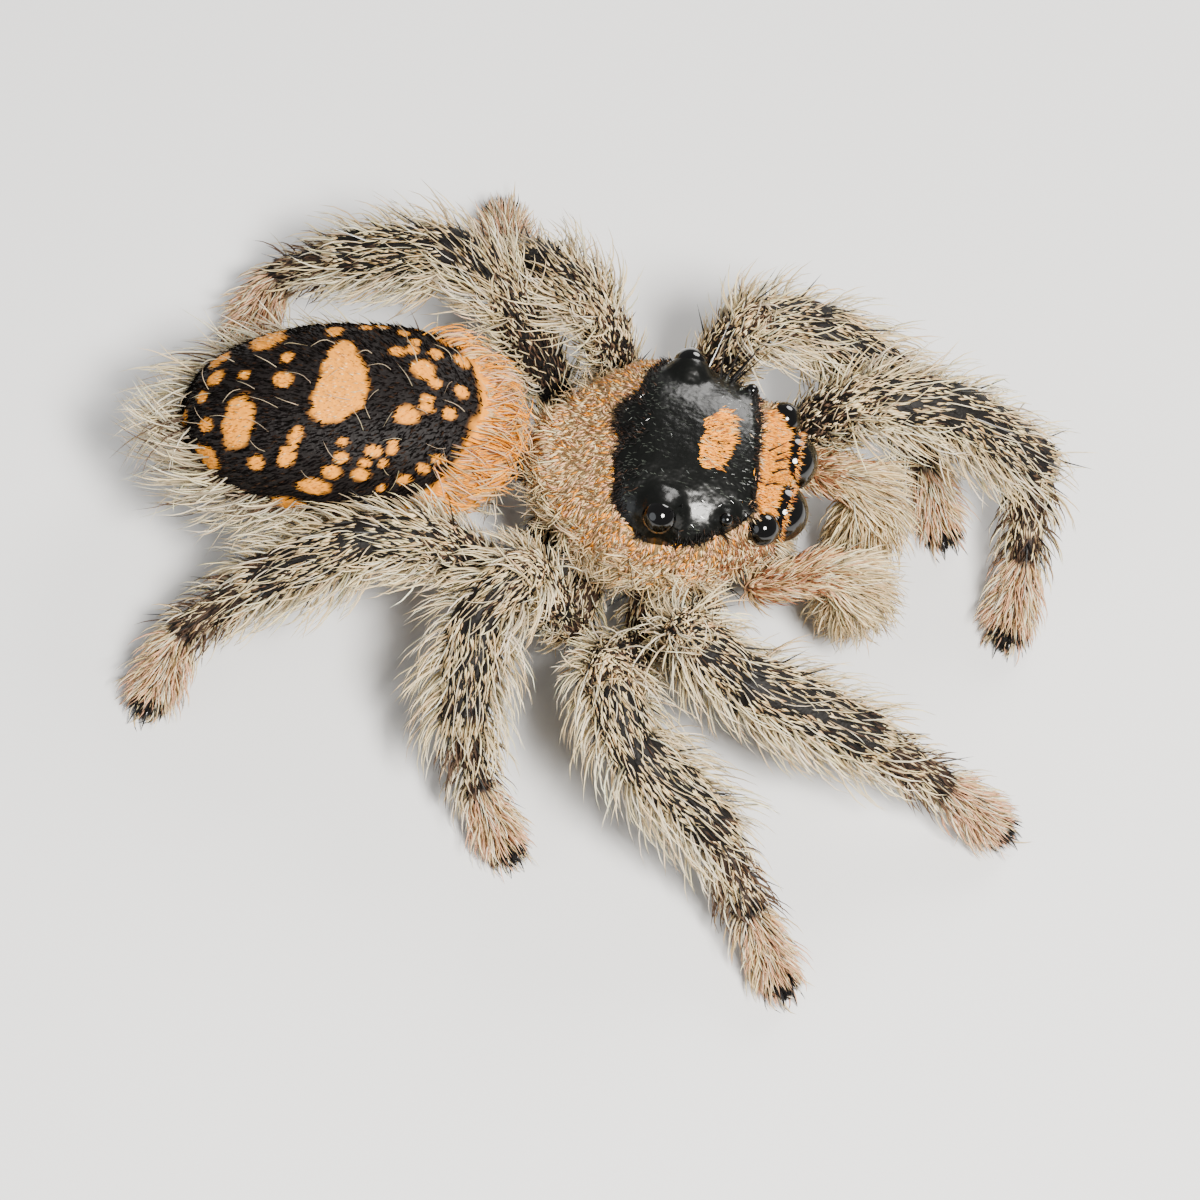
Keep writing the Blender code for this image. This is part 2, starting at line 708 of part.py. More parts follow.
def coat_carapace(coat):
    """Grow the short fringe that hangs around the carapace's margin."""
    for height, count, first, last, short, long, lift in CARAPACE_ROWS:
        for k in range(count):
            heading = math.radians(first + (last - first) * (k / (count - 1)) + random.uniform(-2, 2))
            rise = math.radians(height)
            flat = math.cos(rise)
            way = Vector((math.cos(heading) * flat, math.sin(heading) * flat, math.sin(rise)))
            spot, outward = carapace_point(way), surface_normal(carapace_point, way)
            away = Vector((math.cos(heading), math.sin(heading), 0.0))
            lie = away * 0.7 - Vector((0, 0, 0.75))
            length = random.uniform(short, long)
            coat.grow("carapace", spot - outward * 0.03 * MM, outward, lie, length, lift)
    for heading, height, length in HEAD_TUFTS:
        heading, rise = math.radians(heading), math.radians(height)
        flat = math.cos(rise)
        way = Vector((math.cos(heading) * flat, math.sin(heading) * flat, math.sin(rise)))
        spot, outward = carapace_point(way), surface_normal(carapace_point, way)
        lie = Vector((-0.6, math.sin(heading), 0.3))
        coat.grow("carapace", spot, outward, lie, length, TUFT_LIFT, TUFT_SLIM, 0.1)
    coat.join("carapace")


def add_coat(parts, paths, helpers):
    """Grow every lock of the long coat."""
    coat = Coat(parts, helpers)
    for node, (points, sizes) in paths.items():
        kind = "palp" if node.startswith("palp") else node.rsplit("_", 1)[1]
        coat_limb(coat, node, LIMB_ROWS[kind], points, sizes)
    coat_carapace(coat)
    coat_abdomen(coat)
    print(len(coat.grown), "locks grown,", coat.dropped, "dropped")


def add_limbs(parts, root, materials):
    """Make the palps, jaws, fangs and legs, and return the paths that their locks follow."""
    paths = {}
    for word, side in (("right", -1), ("left", 1)):
        points, sizes = mirrored(PALP_PATH, side), [r * MM for r in PALP_RADII]
        bm = tube_mesh(*round_ends(points, sizes), 9)
        parts[f"palp_{word}"] = to_object(bm, f"palp_{word}", materials["coat_cream"], root)
        paths[f"palp_{word}"] = (points, sizes)
        jaws = (("chelicera", JAW_PATH, JAW_RADII, 8), ("fang", FANG_PATH, FANG_RADII, 6))
        for kind, path, radii, sides in jaws:
            bm = tube_mesh(*round_ends(mirrored(path, side), [r * MM for r in radii]), sides)
            parts[f"{kind}_{word}"] = to_object(bm, f"{kind}_{word}", materials["horn_brown"], root)
    for name, pose in POSES.items():
        for part, (bm, points, sizes) in leg_meshes(pose).items():
            node = f"{name}_{part}"
            parts[node] = to_object(bm, node, materials["coat_tan"], root)
            paths[node] = (points, sizes)
    return paths


def tree_of(obj):
    """Return a search tree of an object's triangles in the body's frame."""
    bm = bmesh.new()
    bm.from_mesh(obj.data)
    bmesh.ops.translate(bm, verts=bm.verts, vec=obj.location)
    bmesh.ops.triangulate(bm, faces=bm.faces)
    tree = BVHTree.FromBMesh(bm)
    bm.free()
    return tree


def settle(parts, root):
    """Move the whole body so that the middle of its footprint is the origin."""
    bpy.context.view_layer.update()
    corners = []
    for obj in parts.values():
        corners += [obj.location + vert.co for vert in obj.data.vertices]
    low = [min(c[k] for c in corners) for k in range(3)]
    high = [max(c[k] for c in corners) for k in range(3)]
    root.location = (-(low[0] + high[0]) / 2, -(low[1] + high[1]) / 2, -low[2])
    print("shift", tuple(round(v / MM, 4) for v in root.location))
    print("size", tuple(round((h - l) / MM, 3) for l, h in zip(low, high)))
    bpy.context.view_layer.update()


def main():
    """Build the whole animal."""
    clear_scene()
    random.seed(SEED)
    materials = make_materials()
    helpers = helper_collection("helpers")
    root = bpy.data.objects.new("spider", None)
    bpy.context.scene.collection.objects.link(root)
    parts = {}
    add_body(parts, root, materials, helpers)
    paths = add_limbs(parts, root, materials)
    add_coat(parts, paths, helpers)
    settle(parts, root)
    triangles = sum(len(p.vertices) - 2 for obj in parts.values() for p in obj.data.polygons)
    print(len(parts), "parts,", triangles, "triangles")


main()
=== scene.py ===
"""The look of a life-size regal jumping spider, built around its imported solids.

One skin covers the whole body. Over it lie short flat bristles, long curved hairs and tufts, each a
thin closed mesh whose root sits on the skin. Eyes, the bare head plate, claws, fangs and spinnerets
are pieces of their own. Lengths are in millimetres in the body's own frame until a mesh is written:
X runs forward through the head, Y to the animal's left and Z up from the floor.
"""

import json
import logging
import math
from dataclasses import dataclass, field
from enum import Enum
from functools import cached_property
from typing import Callable

import bpy
import numpy as np
from bpy.types import ID, Material, Node, NodeSocket, NodeTree, Object
from mathutils import Matrix, Vector
from mathutils.bvhtree import BVHTree

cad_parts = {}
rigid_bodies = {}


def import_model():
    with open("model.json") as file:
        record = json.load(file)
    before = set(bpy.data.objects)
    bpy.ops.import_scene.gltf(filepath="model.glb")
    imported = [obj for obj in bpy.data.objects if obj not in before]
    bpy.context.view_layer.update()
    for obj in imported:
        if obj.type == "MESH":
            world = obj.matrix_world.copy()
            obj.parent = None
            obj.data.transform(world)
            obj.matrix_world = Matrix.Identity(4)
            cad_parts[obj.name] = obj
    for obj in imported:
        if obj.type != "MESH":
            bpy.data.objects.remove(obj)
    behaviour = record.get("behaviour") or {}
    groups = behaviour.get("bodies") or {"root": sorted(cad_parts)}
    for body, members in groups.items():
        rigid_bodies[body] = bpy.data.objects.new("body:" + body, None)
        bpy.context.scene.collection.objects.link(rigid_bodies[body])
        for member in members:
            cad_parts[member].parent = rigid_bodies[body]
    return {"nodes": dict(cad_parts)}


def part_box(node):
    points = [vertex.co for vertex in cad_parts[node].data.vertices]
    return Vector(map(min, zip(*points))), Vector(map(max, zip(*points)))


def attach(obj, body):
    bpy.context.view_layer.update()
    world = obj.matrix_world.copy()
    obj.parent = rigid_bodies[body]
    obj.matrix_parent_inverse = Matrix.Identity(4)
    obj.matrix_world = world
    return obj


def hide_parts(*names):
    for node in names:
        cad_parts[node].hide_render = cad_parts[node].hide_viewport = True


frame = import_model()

LOG = logging.getLogger("spider")
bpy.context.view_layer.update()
MM = 0.001
VOXEL = 0.053
UP = np.array([0.0, 0.0, 1.0])
# How thick the head plate stands over the skin, and the least and greatest share of a hair's width
PLATE_LIFT = 0.026
WIDTH_RANGE = (0.8, 1.2)
# Steps along a hair's curve, the depth of its root, and half the width of its patch on the bake map
CURVE_STEPS = 8
ROOT_DEPTH = 0.03
BAKE_HALF = 0.0014
# The turn, in radians, by which a spiral fills a circle evenly
GOLDEN_ANGLE = 2.399963
RNG = np.random.default_rng(11)
Array = np.ndarray
# A batch of hairs: vertices, triangles, and each vertex's colour and place on the bake map
Batch = tuple[Array, Array, Array, Array]


class Slot(Enum):
    """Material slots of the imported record."""

    TAN = "coat_tan"
    CREAM = "coat_cream"
    VELVET = "velvet_black"
    SHELL = "shell_black"
    EYE = "eye_black"
    HORN = "horn_brown"


class Tone(Enum):
    """Colours of the cuticle and the coat, as they look in plain daylight."""

    BLACK = "141211"
    VELVET = "1b1716"
    BROWN = "3a2a20"
    SLATE = "363a34"
    PEACH = "d8a680"
    WHITE = "d2d2d2"
    DUSK = "5b4636"
    TAN = "c7a371"
    SAND = "d8bc8d"
    CREAM = "e6d2a6"
    PALE = "e6dabd"
    ASH = "ab9a7e"
    ORANGE = "ef9824"
    RUST = "a86228"
    ROSE = "8c5838"

    @property
    def rgb(self) -> Array:
        """The colour as linear light."""
        share = np.array([int(self.value[k : k + 2], 16) / 255 for k in (0, 2, 4)])
        return np.where(share <= 0.04045, share / 12.92, ((share + 0.055) / 1.055) ** 2.4)


def unit(values: Array) -> Array:
    """Scale vectors to length one."""
    values = np.asarray(values, float)
    return values / np.maximum(np.linalg.norm(values, axis=-1, keepdims=True), 1e-9)


def without(values: Array, way: Array) -> Array:
    """Return unit directions with their share along another direction taken away."""
    return unit(values - way * (values * way).sum(-1, keepdims=True))


def ease(value: Array) -> Array:
    """Ease a share from 0 to 1, held at both ends."""
    value = np.clip(value, 0.0, 1.0)
    return value * value * (3.0 - 2.0 * value)


def between(value: Array, low: float, rise: float, high: float, fall: float) -> Array:
    """Return 1 between two limits, easing to 0 at each over its own width."""
    return ease((value - low) / rise) * ease((high - value) / fall)


def bump(mark: Array, centre: float, half: float) -> Array:
    """Return 1 near one place along a limb, easing to 0 away from it."""
    return ease(1.6 - np.abs(mark - centre) / half)


def headed(heading: Array, height: Array) -> Array:
    """Return unit directions from heading and height angles in degrees."""
    a, b = np.radians(heading), np.radians(height)
    return np.stack([np.cos(a) * np.cos(b), np.sin(a) * np.cos(b), np.sin(b) + 0 * a], -1)


# Anatomy: the same named sizes as the solids


@dataclass(frozen=True)
class Carapace:
    """The domed shield over head and thorax."""

    inset: float = 0.07
    centre: tuple = (0.29, 0.0, 1.95)
    half_length: float = 1.75
    half_width: float = 1.56
    rise: float = 1.13
    drop: float = 0.68
    power: float = 2.7
    clypeus_lift: float = 0.42

    def point(self, way: Array) -> Array:
        """Return surface points for unit directions from the centre.

        Args:
            way: The directions.

        Returns:
            The points.
        """
        reach = (np.abs(way) ** self.power).sum(-1, keepdims=True) ** (-1 / self.power)
        x, y, z = np.moveaxis(way * reach, -1, 0)
        front, rear = ease((x - 0.1) / 0.9), ease((-x - 0.05) / 0.95)
        width = (self.half_width - self.inset) * (1 - 0.14 * front - 0.34 * rear**2)
        high = (self.rise - self.inset) * (1 - 0.1 * ease((x - 0.45) / 0.55))
        high = high * (1 - 0.72 * ease((-x - 0.15) / 0.85) ** 1.3)
        height = np.where(z > 0, high, self.drop - self.inset)
        width = width * np.where(z > 0, 1 - 0.12 * z * z, 1.0)
        lift = self.clypeus_lift * ease((x - 0.35) / 0.6) * ease(0.5 - z)
        return np.stack([x * (self.half_length - self.inset), y * width, z * height + lift], -1) + self.centre


@dataclass(frozen=True)
class Abdomen:
    """The egg-shaped hind body, swung a little to the right."""

    inset: float = 0.06
    centre: tuple = (-3.68, -0.28, 1.82)
    half: tuple = (1.98, 1.36, 1.2)
    back_stretch: float = 1.22
    power: float = 2.25
    swing: float = math.radians(12)
    tilt: float = math.radians(3)

    @property
    def axes(self) -> tuple[Array, Array, Array]:
        """The body's own axes.

        Returns:
            The backward, rightward and upward directions.
        """
        flat = np.array([-math.cos(self.swing), -math.sin(self.swing), 0.0])
        back = unit(flat * math.cos(self.tilt) - UP * math.sin(self.tilt))
        right = unit(np.cross(UP, back))
        return back, right, np.cross(back, right)

    def point(self, way: Array) -> Array:
        """Return surface points for unit directions given as backward, right and up.

        Args:
            way: The directions.

        Returns:
            The points.
        """
        back, right, up = self.axes
        reach = (np.abs(way) ** self.power).sum(-1, keepdims=True) ** (-1 / self.power)
        x, y, z = np.moveaxis(way * reach, -1, 0)
        length = (self.half[0] - self.inset) * np.where(x > 0, self.back_stretch, 1.0)
        width = (self.half[1] - self.inset) * (1 - 0.06 * ease(x) * x)
        height = (self.half[2] - self.inset) * np.where(z > 0, 1.0, 0.94)
        spot = (x * length)[..., None] * back + (y * width)[..., None] * right
        return spot + (z * height)[..., None] * up + self.centre

    def angles(self, spots: Array) -> tuple[Array, Array]:
        """Return heading from straight back and height, in degrees, of points on the body.

        Args:
            spots: Points.

        Returns:
            Both angles for each point.
        """
        x, y, z = ((spots - self.centre) @ axis / half for axis, half in zip(self.axes, self.half))
        way = unit(np.stack([x / np.where(x > 0, self.back_stretch, 1.0), y, z], -1))
        heading = np.degrees(np.arctan2(way[:, 1], way[:, 0]))
        return heading, np.degrees(np.arcsin(np.clip(way[:, 2], -1, 1)))

    def outward(self, spots: Array) -> Array:
        """Return level unit directions from the body's middle line."""
        away, up = spots - self.centre, self.axes[2]
        return unit(away - np.outer(away @ up, up))


# How full each length is, from coxa to tarsus: place along it and share of its radius
FULLNESS = (
    ((0.3, 1.0), (0.8, 1.0)),
    ((0.35, 0.86), (0.6, 1.0), (0.85, 0.97)),
    ((0.3, 1.0), (0.65, 1.0)),
    ((0.25, 1.0), (0.55, 1.0), (0.85, 0.86)),
    ((0.3, 1.0), (0.7, 0.88)),
    ((0.3, 0.88), (0.62, 1.0), (0.86, 0.96)),
)
# Lengths after the coxa, and radii from the coxa, for each pair of legs
LENGTHS = {
    1: (1.72, 1.0, 1.9, 1.25, 1.05),
    2: (1.75, 1.0, 1.55, 1.15, 1.0),
    3: (1.6, 0.8, 1.35, 1.0, 0.9),
    4: (1.7, 0.82, 1.6, 1.2, 1.02),
}
RADII = {
    1: (0.28, 0.47, 0.46, 0.5, 0.31, 0.27),
    2: (0.28, 0.43, 0.43, 0.46, 0.29, 0.26),
    3: (0.28, 0.4, 0.41, 0.43, 0.27, 0.25),
    4: (0.28, 0.43, 0.42, 0.45, 0.29, 0.26),
}
COXA_X = {1: 1.08, 2: 0.38, 3: -0.32, 4: -1.02}
COXA_HEIGHT, FOOT_HEIGHT = 0.85, 0.16
# How an end is rounded: reach beyond it and width, as shares of its radius
DOME = ((0.35, 0.94), (0.62, 0.78), (0.82, 0.56), (0.96, 0.26))


@dataclass(frozen=True)
class Limb:
    """The path of one limb part, and how thick it is there.

    On a leg, a mark is the number of the length, counted from the body, plus the share along it. On a
    palp, jaw or fang it runs from 0 to 1.
    """

    name: str
    points: Array
    radii: Array
    marks: Array

    def dense(self, steps: int) -> tuple[Array, Array, Array, Array]:
        """Resample the path finely, with both ends rounded beyond it.

        Args:
            steps: How many rings to return.

        Returns:
            Centres, radii, directions and marks at each ring.
        """
        points, radii, marks = self.points, self.radii, self.marks
        first, last = unit(points[0] - points[1]), unit(points[-1] - points[-2])
        for reach, share in DOME:
            start = self.points[0] + first * self.radii[0] * reach
            points = np.vstack([start, points, self.points[-1] + last * self.radii[-1] * reach])
            radii = np.concatenate([[self.radii[0] * share], radii, [self.radii[-1] * share]])
            marks = np.concatenate([marks[:1], marks, marks[-1:]])
        run = np.concatenate([[0], np.cumsum(np.linalg.norm(np.diff(points, axis=0), axis=1))])
        at = np.linspace(0, run[-1], steps)
        centre = np.stack([np.interp(at, run, points[:, k]) for k in range(3)], -1)
        radius, mark = np.interp(at, run, radii), np.interp(at, run, marks)
        kernel = np.hanning(9)[1:-1]
        kernel /= kernel.sum()
        for values in (*centre.T, radius):
            padded = np.pad(values, len(kernel) // 2, mode="reflect", reflect_type="odd")
            values[:] = np.convolve(padded, kernel, "valid")
        return centre, np.maximum(radius, 0.02), unit(np.gradient(centre, axis=0)), mark


@dataclass(frozen=True)
class Leg:
    """One leg's pose: heading of each length from straight ahead, and rise of all but the last."""

    name: str
    pair: int
    side: int
    hip_end: tuple
    heading: tuple
    rise: tuple

    @property
    def joints(self) -> Array:
        """The leg's pose as points.

        Returns:
            The seven joint points from the body to the tip.
        """
        share = (COXA_X[self.pair] - 0.05) / 1.22
        inner = max(0.6 * math.sqrt(1 - share * share) + 0.14, RADII[self.pair][0] + 0.06)
        found = [np.array([COXA_X[self.pair], self.side * inner, COXA_HEIGHT])]
        found.append(np.array([self.hip_end[0], self.side * self.hip_end[1], COXA_HEIGHT]))
        for k, length in enumerate(LENGTHS[self.pair]):
            last = k == len(self.rise)
            rise = math.asin((FOOT_HEIGHT - found[-1][2]) / length) if last else math.radians(self.rise[k])
            turn = math.radians(self.heading[k]) * self.side
            way = (math.cos(rise) * math.cos(turn), math.cos(rise) * math.sin(turn), math.sin(rise))
            found.append(found[-1] + np.array(way) * length)
        return np.array(found)

    def limbs(self, inset: float) -> list[Limb]:
        """Return the leg's three parts as paths, thinned by the coat's depth.

        Args:
            inset: The coat's depth.

        Returns:
            The upper, middle and foot parts, each of two lengths with a rounded bend.
        """
        joints, made = self.joints, []
        for part, first in (("upper", 0), ("middle", 2), ("foot", 4)):
            start, bend, end = joints[first : first + 3]
            before, after = unit(bend - start), unit(end - bend)
            size = [RADII[self.pair][first] - inset, RADII[self.pair][first + 1] - inset]
            angle = math.acos(float(np.clip(before @ after, -1, 1)))
            corner = min(max(min(size) * math.tan(angle / 2) * 1.1, 0.1), 0.42 * np.linalg.norm(bend - start))
            corner = min(corner, 0.42 * np.linalg.norm(end - bend))
            waist = min(size) * (0.88 if first else 1.0)
            early, late = bend - before * corner, bend + after * corner
            rows = [(start, size[0] * (1.0 if first == 0 else 0.84), first + 0.0)]
            for share, full in FULLNESS[first]:
                spot = start + (bend - start) * share
                if np.linalg.norm(bend - spot) > corner * 1.25:
                    rows.append((spot, size[0] * full, first + share))
            rows.append((early, (waist + size[0]) / 2, first + 0.93))
            rows.append(((early + 2 * bend + late) / 4, waist, first + 1.0))
            rows.append((late, (waist + size[1]) / 2, first + 1.07))
            for share, full in FULLNESS[first + 1]:
                spot = bend + (end - bend) * share
                if np.linalg.norm(spot - bend) > corner * 1.25:
                    rows.append((spot, size[1] * full, first + 1 + share))
            rows.append((end, size[1] * (0.84 if first < 4 else 0.8), first + 2.0))
            made.append(Limb(f"{self.name}_{part}", *(np.array([row[k] for row in rows]) for k in range(3))))
        return made


LEGS = (
    Leg("leg_right_1", 1, -1, (1.2, 1.8), (109, 6, 3, 3, 9), (62, -38, -16, -26)),
    Leg("leg_right_2", 2, -1, (0.45, 2.0), (110, 57, 20, 47, 50), (43, -17, -26, -28)),
    Leg("leg_right_3", 3, -1, (-0.45, 1.95), (169, 130, 83, 54, 47), (59, -18, -33, -47)),
    Leg("leg_right_4", 4, -1, (-1.3, 1.6), (164, 171, 156, 142, 105), (46, 1, -29, -32)),
    Leg("leg_left_1", 1, 1, (1.75, 1.6), (-3, 10, 10, -80, -90), (61, 6, -39, -28)),
    Leg("leg_left_2", 2, 1, (0.5, 2.05), (15, 36, -5, -47, -52), (76, -24, -25, -37)),
    Leg("leg_left_3", 3, 1, (-0.45, 1.95), (172, 153, 110, 103, 106), (65, 4, -56, -49)),
    Leg("leg_left_4", 4, 1, (-1.3, 1.6), (162, 142, 180, 177, 251), (53, 1, -26, -46)),
)
SIDES = (("right", -1), ("left", 1))
# Path and radii of the animal's left palp, jaw and fang
PALP = (((1.66, 1.0, 1.34), (2.5, 0.76, 1.74), (2.92, 0.74, 1.66), (3.04, 0.62, 1.2), (2.98, 0.5, 0.62)),
        (0.17, 0.23, 0.26, 0.33, 0.2))
JAW = (((1.66, 0.36, 1.5), (1.86, 0.36, 1.16), (1.94, 0.35, 0.72)), (0.27, 0.28, 0.2))
FANG = (((1.9, 0.32, 0.44), (1.86, 0.28, 0.32), (1.74, 0.2, 0.24)), (0.09, 0.07, 0.03))


def side_limb(name: str, shape: tuple, side: int, inset: float = 0.0) -> Limb:
    """Return a mirrored palp, jaw or fang as a path."""
    points = np.array([(x, y * side, z) for x, y, z in shape[0]])
    return Limb(name, points, np.array(shape[1]) - inset, np.linspace(0, 1, len(points)))


@dataclass(frozen=True)
class Eye:
    """One of the eight lenses, and how far a black collar reaches from it."""

    name: str
    radius: float
    centre: Array
    ahead: Array
    collar: float

    @property
    def axes(self) -> tuple[Array, Array, Array]:
        """The sideways, upward and forward directions of the lens."""
        across = unit(np.cross(UP, self.ahead))
        return across, np.cross(self.ahead, across), self.ahead


EYES = tuple(
    Eye(f"{name}_{word}", radius, np.array([x, y * side, z]), unit(np.array([u, v * side, w])), collar)
    for name, radius, (x, y, z), (u, v, w), collar in (
        ("eye_front_middle", 0.385, (1.78, 0.40, 2.34), (1.0, 0.06, 0.05), -0.3),
        ("eye_front_side", 0.225, (1.58, 0.86, 2.58), (0.85, 0.55, 0.35), 0.03),
        ("eye_rear_small", 0.09, (1.08, 1.01, 2.82), (0.3, 0.75, 0.7), 0.09),
        ("eye_rear_side", 0.225, (0.23, 1.19, 2.8), (-0.1, 0.9, 0.5), 0.11),
    )
    for word, side in SIDES
)


def clear_of_eyes(spots: Array, gap: float) -> Array:
    """Return whether points keep a gap from every eye."""
    return np.all([np.linalg.norm(spots - eye.centre, axis=1) > eye.radius + gap for eye in EYES], 0)


# Markings: where the coat changes colour, shared by skin and coat

PLATE_EDGE = (
    (-0.02, 1.2), (-0.23, 0.95), (-0.29, 0.72), (-0.3, 0.5), (-0.53, 0.3), (-0.5, 0.0), (-0.38, -0.24),
    (-0.47, -0.43), (-0.37, -0.74), (-0.36, -0.97), (-0.2, -1.18), (0.1, -1.33), (0.48, -1.32), (0.8, -1.23),
    (1.12, -1.02), (1.36, -0.76), (1.33, -0.35), (1.27, 0.1), (1.2, 0.72), (1.12, 1.06), (0.8, 1.31),
    (0.17, 1.3),
)
PLATE_FLOOR = 2.3
BAND_EDGE = (
    (1.3, 0.82), (1.62, 0.74), (1.74, 0.3), (1.78, -0.1), (1.74, -0.62), (1.5, -0.82), (1.38, -0.4),
    (1.34, 0.1),
)
# The orange spot on the head plate: centre, half sizes and turn
HEAD_SPOT, HEAD_SPOT_HALF, HEAD_SPOT_TURN = (0.69, 0.04), (0.2, 0.46), math.radians(-6)
MAIN_SPOT_EDGE = (
    (-4.25, 0.28), (-4.36, -0.05), (-4.35, -0.38), (-4.42, -0.72), (-4.4, -0.98), (-4.2, -1.06),
    (-4.0, -0.98), (-3.78, -0.74), (-3.74, -0.43), (-3.85, -0.13), (-4.02, 0.1), (-4.1, 0.27),
)
# Spots on the abdomen: heading from straight back, height, half sizes along and across the body
SPOTS = (
    (28, 39, 0.23, 0.42), (-48, 39, 0.27, 0.33), (-31, 59, 0.1, 0.1), (-1, 62, 0.14, 0.14),
    (-10, 48, 0.1, 0.07), (-30, 27, 0.2, 0.2), (-12, 34, 0.16, 0.13), (0, 28, 0.12, 0.1),
    (4, 8, 0.2, 0.12), (20, 25, 0.12, 0.11), (32, 8, 0.26, 0.2), (50, 25, 0.12, 0.12),
    (58, 35, 0.12, 0.17), (55, 47, 0.1, 0.19), (76, 32, 0.15, 0.11), (78, 42, 0.11, 0.09),
    (76, 51, 0.09, 0.06), (91, 47, 0.12, 0.1), (102, 49, 0.08, 0.11), (87, 32, 0.14, 0.11),
    (88, 40, 0.09, 0.06), (96, 40, 0.07, 0.07), (95, 23, 0.08, 0.07), (105, 29, 0.11, 0.08),
    (114, 34, 0.11, 0.08), (123, 37, 0.12, 0.08), (122, 65, 0.2, 0.14), (143, 64, 0.12, 0.07),
    (154, 66, 0.1, 0.06), (151, 55, 0.1, 0.09), (-156, 68, 0.19, 0.17), (-179, 65, 0.1, 0.09),
    (-116, 67, 0.11, 0.1), (-125, 62, 0.09, 0.1), (-139, 56, 0.11, 0.12), (-120, 54, 0.09, 0.1),
    (-74, 49, 0.13, 0.2), (-89, 44, 0.1, 0.13), (-97, 41, 0.1, 0.13), (-109, 47, 0.09, 0.13),
    (-130, 40, 0.12, 0.14), (-150, 47, 0.13, 0.14), (177, 54, 0.11, 0.11), (72, 20, 0.24, 0.15),
    (66, -3, 0.28, 0.18),
)
# Heading away from straight back, and the front band's top there, in degrees
BAND_TOP = ((98, 106, 120, 140, 155, 180), (0, 13, 27, 41, 45, 46))


def inside(spots: Array, edge: tuple) -> Array:
    """Return how far points lie inside a closed outline seen from above.

    Args:
        spots: Points, of which x and y are used.
        edge: The outline's corners.

    Returns:
        A distance for each point, above zero inside.
    """
    flat, a = np.asarray(spots, float)[:, :2], np.asarray(edge, float)
    b = np.roll(a, -1, 0)
    span = b - a
    rel = flat[:, None] - a[None]
    share = np.clip((rel * span).sum(-1) / (span * span).sum(-1), 0, 1)
    near = np.linalg.norm(rel - share[..., None] * span, axis=-1).min(1)
    above = (a[None, :, 1] > flat[:, None, 1]) != (b[None, :, 1] > flat[:, None, 1])
    slope = (flat[:, None, 1] - a[None, :, 1]) / np.where(np.abs(span[:, 1]) < 1e-9, 1e-9, span[:, 1])[None]
    odd = (above & (flat[:, None, 0] < slope * span[None, :, 0] + a[None, :, 0])).sum(1) % 2 == 1
    return np.where(odd, near, -near)


def ripple(spots: Array, size: float, seed: int) -> Array:
    """Return a smooth pattern between -1 and 1 that changes over about the given size.

    Args:
        spots: Points.
        size: How far apart its swells are.
        seed: Picks the pattern.

    Returns:
        A value for each point.
    """
    local, total = np.random.default_rng(seed), np.zeros(len(spots))
    for _ in range(7):
        way = unit(local.normal(size=3))
        total += np.sin(spots @ way * (6.0 / size) + local.uniform(0, 6.28))
    return np.clip(total / 3.2, -1, 1)


def ripples(spots: Array, seed: int) -> Array:
    """Return smooth directions, by which neighbouring hairs lean together in clumps."""
    return np.stack([ripple(spots, 0.4, seed + k) for k in range(3)], -1)


def plate_share(spots: Array) -> Array:
    """Return 1 on the bare head plate and on the black collars of the side eyes, and 0 off them.

    Args:
        spots: Points.

    Returns:
        A share for each point.
    """
    depth = inside(spots, PLATE_EDGE) + 0.03 * ripple(spots, 0.35, 3)
    for eye in EYES:
        depth = np.maximum(depth, eye.radius + eye.collar - np.linalg.norm(spots - eye.centre, axis=1))
    return ease(depth / 0.06 + 0.5) * (spots[:, 2] > PLATE_FLOOR)


def head_orange(spots: Array) -> Array:
    """Return 1 on the orange scale patches of the head and 0 off them.

    Args:
        spots: Points.

    Returns:
        A share for each point.
    """
    band = ease(inside(spots, BAND_EDGE) / 0.06 + 0.5) * (spots[:, 2] > PLATE_FLOOR)
    cosine, sine = math.cos(HEAD_SPOT_TURN), math.sin(HEAD_SPOT_TURN)
    dx, dy = spots[:, 0] - HEAD_SPOT[0], spots[:, 1] - HEAD_SPOT[1]
    u, v = (dx * cosine + dy * sine) / HEAD_SPOT_HALF[0], (-dx * sine + dy * cosine) / HEAD_SPOT_HALF[1]
    full = (np.abs(u) ** 2.6 + np.abs(v) ** 2.6) ** (1 / 2.6) + 0.1 * ripple(spots, 0.25, 5)
    return np.maximum(band, ease((1 - full) / 0.3 + 0.5) * (spots[:, 2] > 2.5))


def abdomen_marks(body: Abdomen, spots: Array) -> tuple[Array, Array]:
    """Return where the abdomen is orange.

    Args:
        body: The abdomen.
        spots: Points on it.

    Returns:
        The share of orange spot, and the share of front band, for each point.
    """
    heading, height = body.angles(spots)
    depth = inside(spots, 0.86 * np.array(MAIN_SPOT_EDGE) + 0.14 * np.mean(MAIN_SPOT_EDGE, 0)) + 0.045
    orange = ease((depth + 0.02 * ripple(spots, 0.2, 8)) / 0.05 + 0.5) * (spots[:, 2] > 2.4)
    wobble = 0.1 * ripple(spots, 0.22, 9)
    for h, e, long, wide in SPOTS:
        # The flank that the photo shows is mirrored onto the far one.
        for centre in [(h, e)] + [(-h, e - 4)] * (45 < h < 125 and e < 36):
            off = spots - body.point(headed(*np.array(centre, float)[:, None]))
            across = np.linalg.norm(off[:, 1:], axis=1)
            full = np.sqrt((off[:, 0] / long) ** 2 + (across / wide) ** 2) + wobble
            orange = np.maximum(orange, ease((0.83 - full) / 0.28 + 0.5))
    away = np.abs(heading)
    edge = np.interp(away, *BAND_TOP) + 1.2 * ripple(spots, 0.3, 4)
    return orange, ease((away - 97) / 6) * ease((edge - height) / 4)


def blend(first: Array, second: Array, share: Array) -> Array:
    """Mix two colours, or two lists of colours, by a share for each point."""
    return first * (1 - share[:, None]) + second * share[:, None]


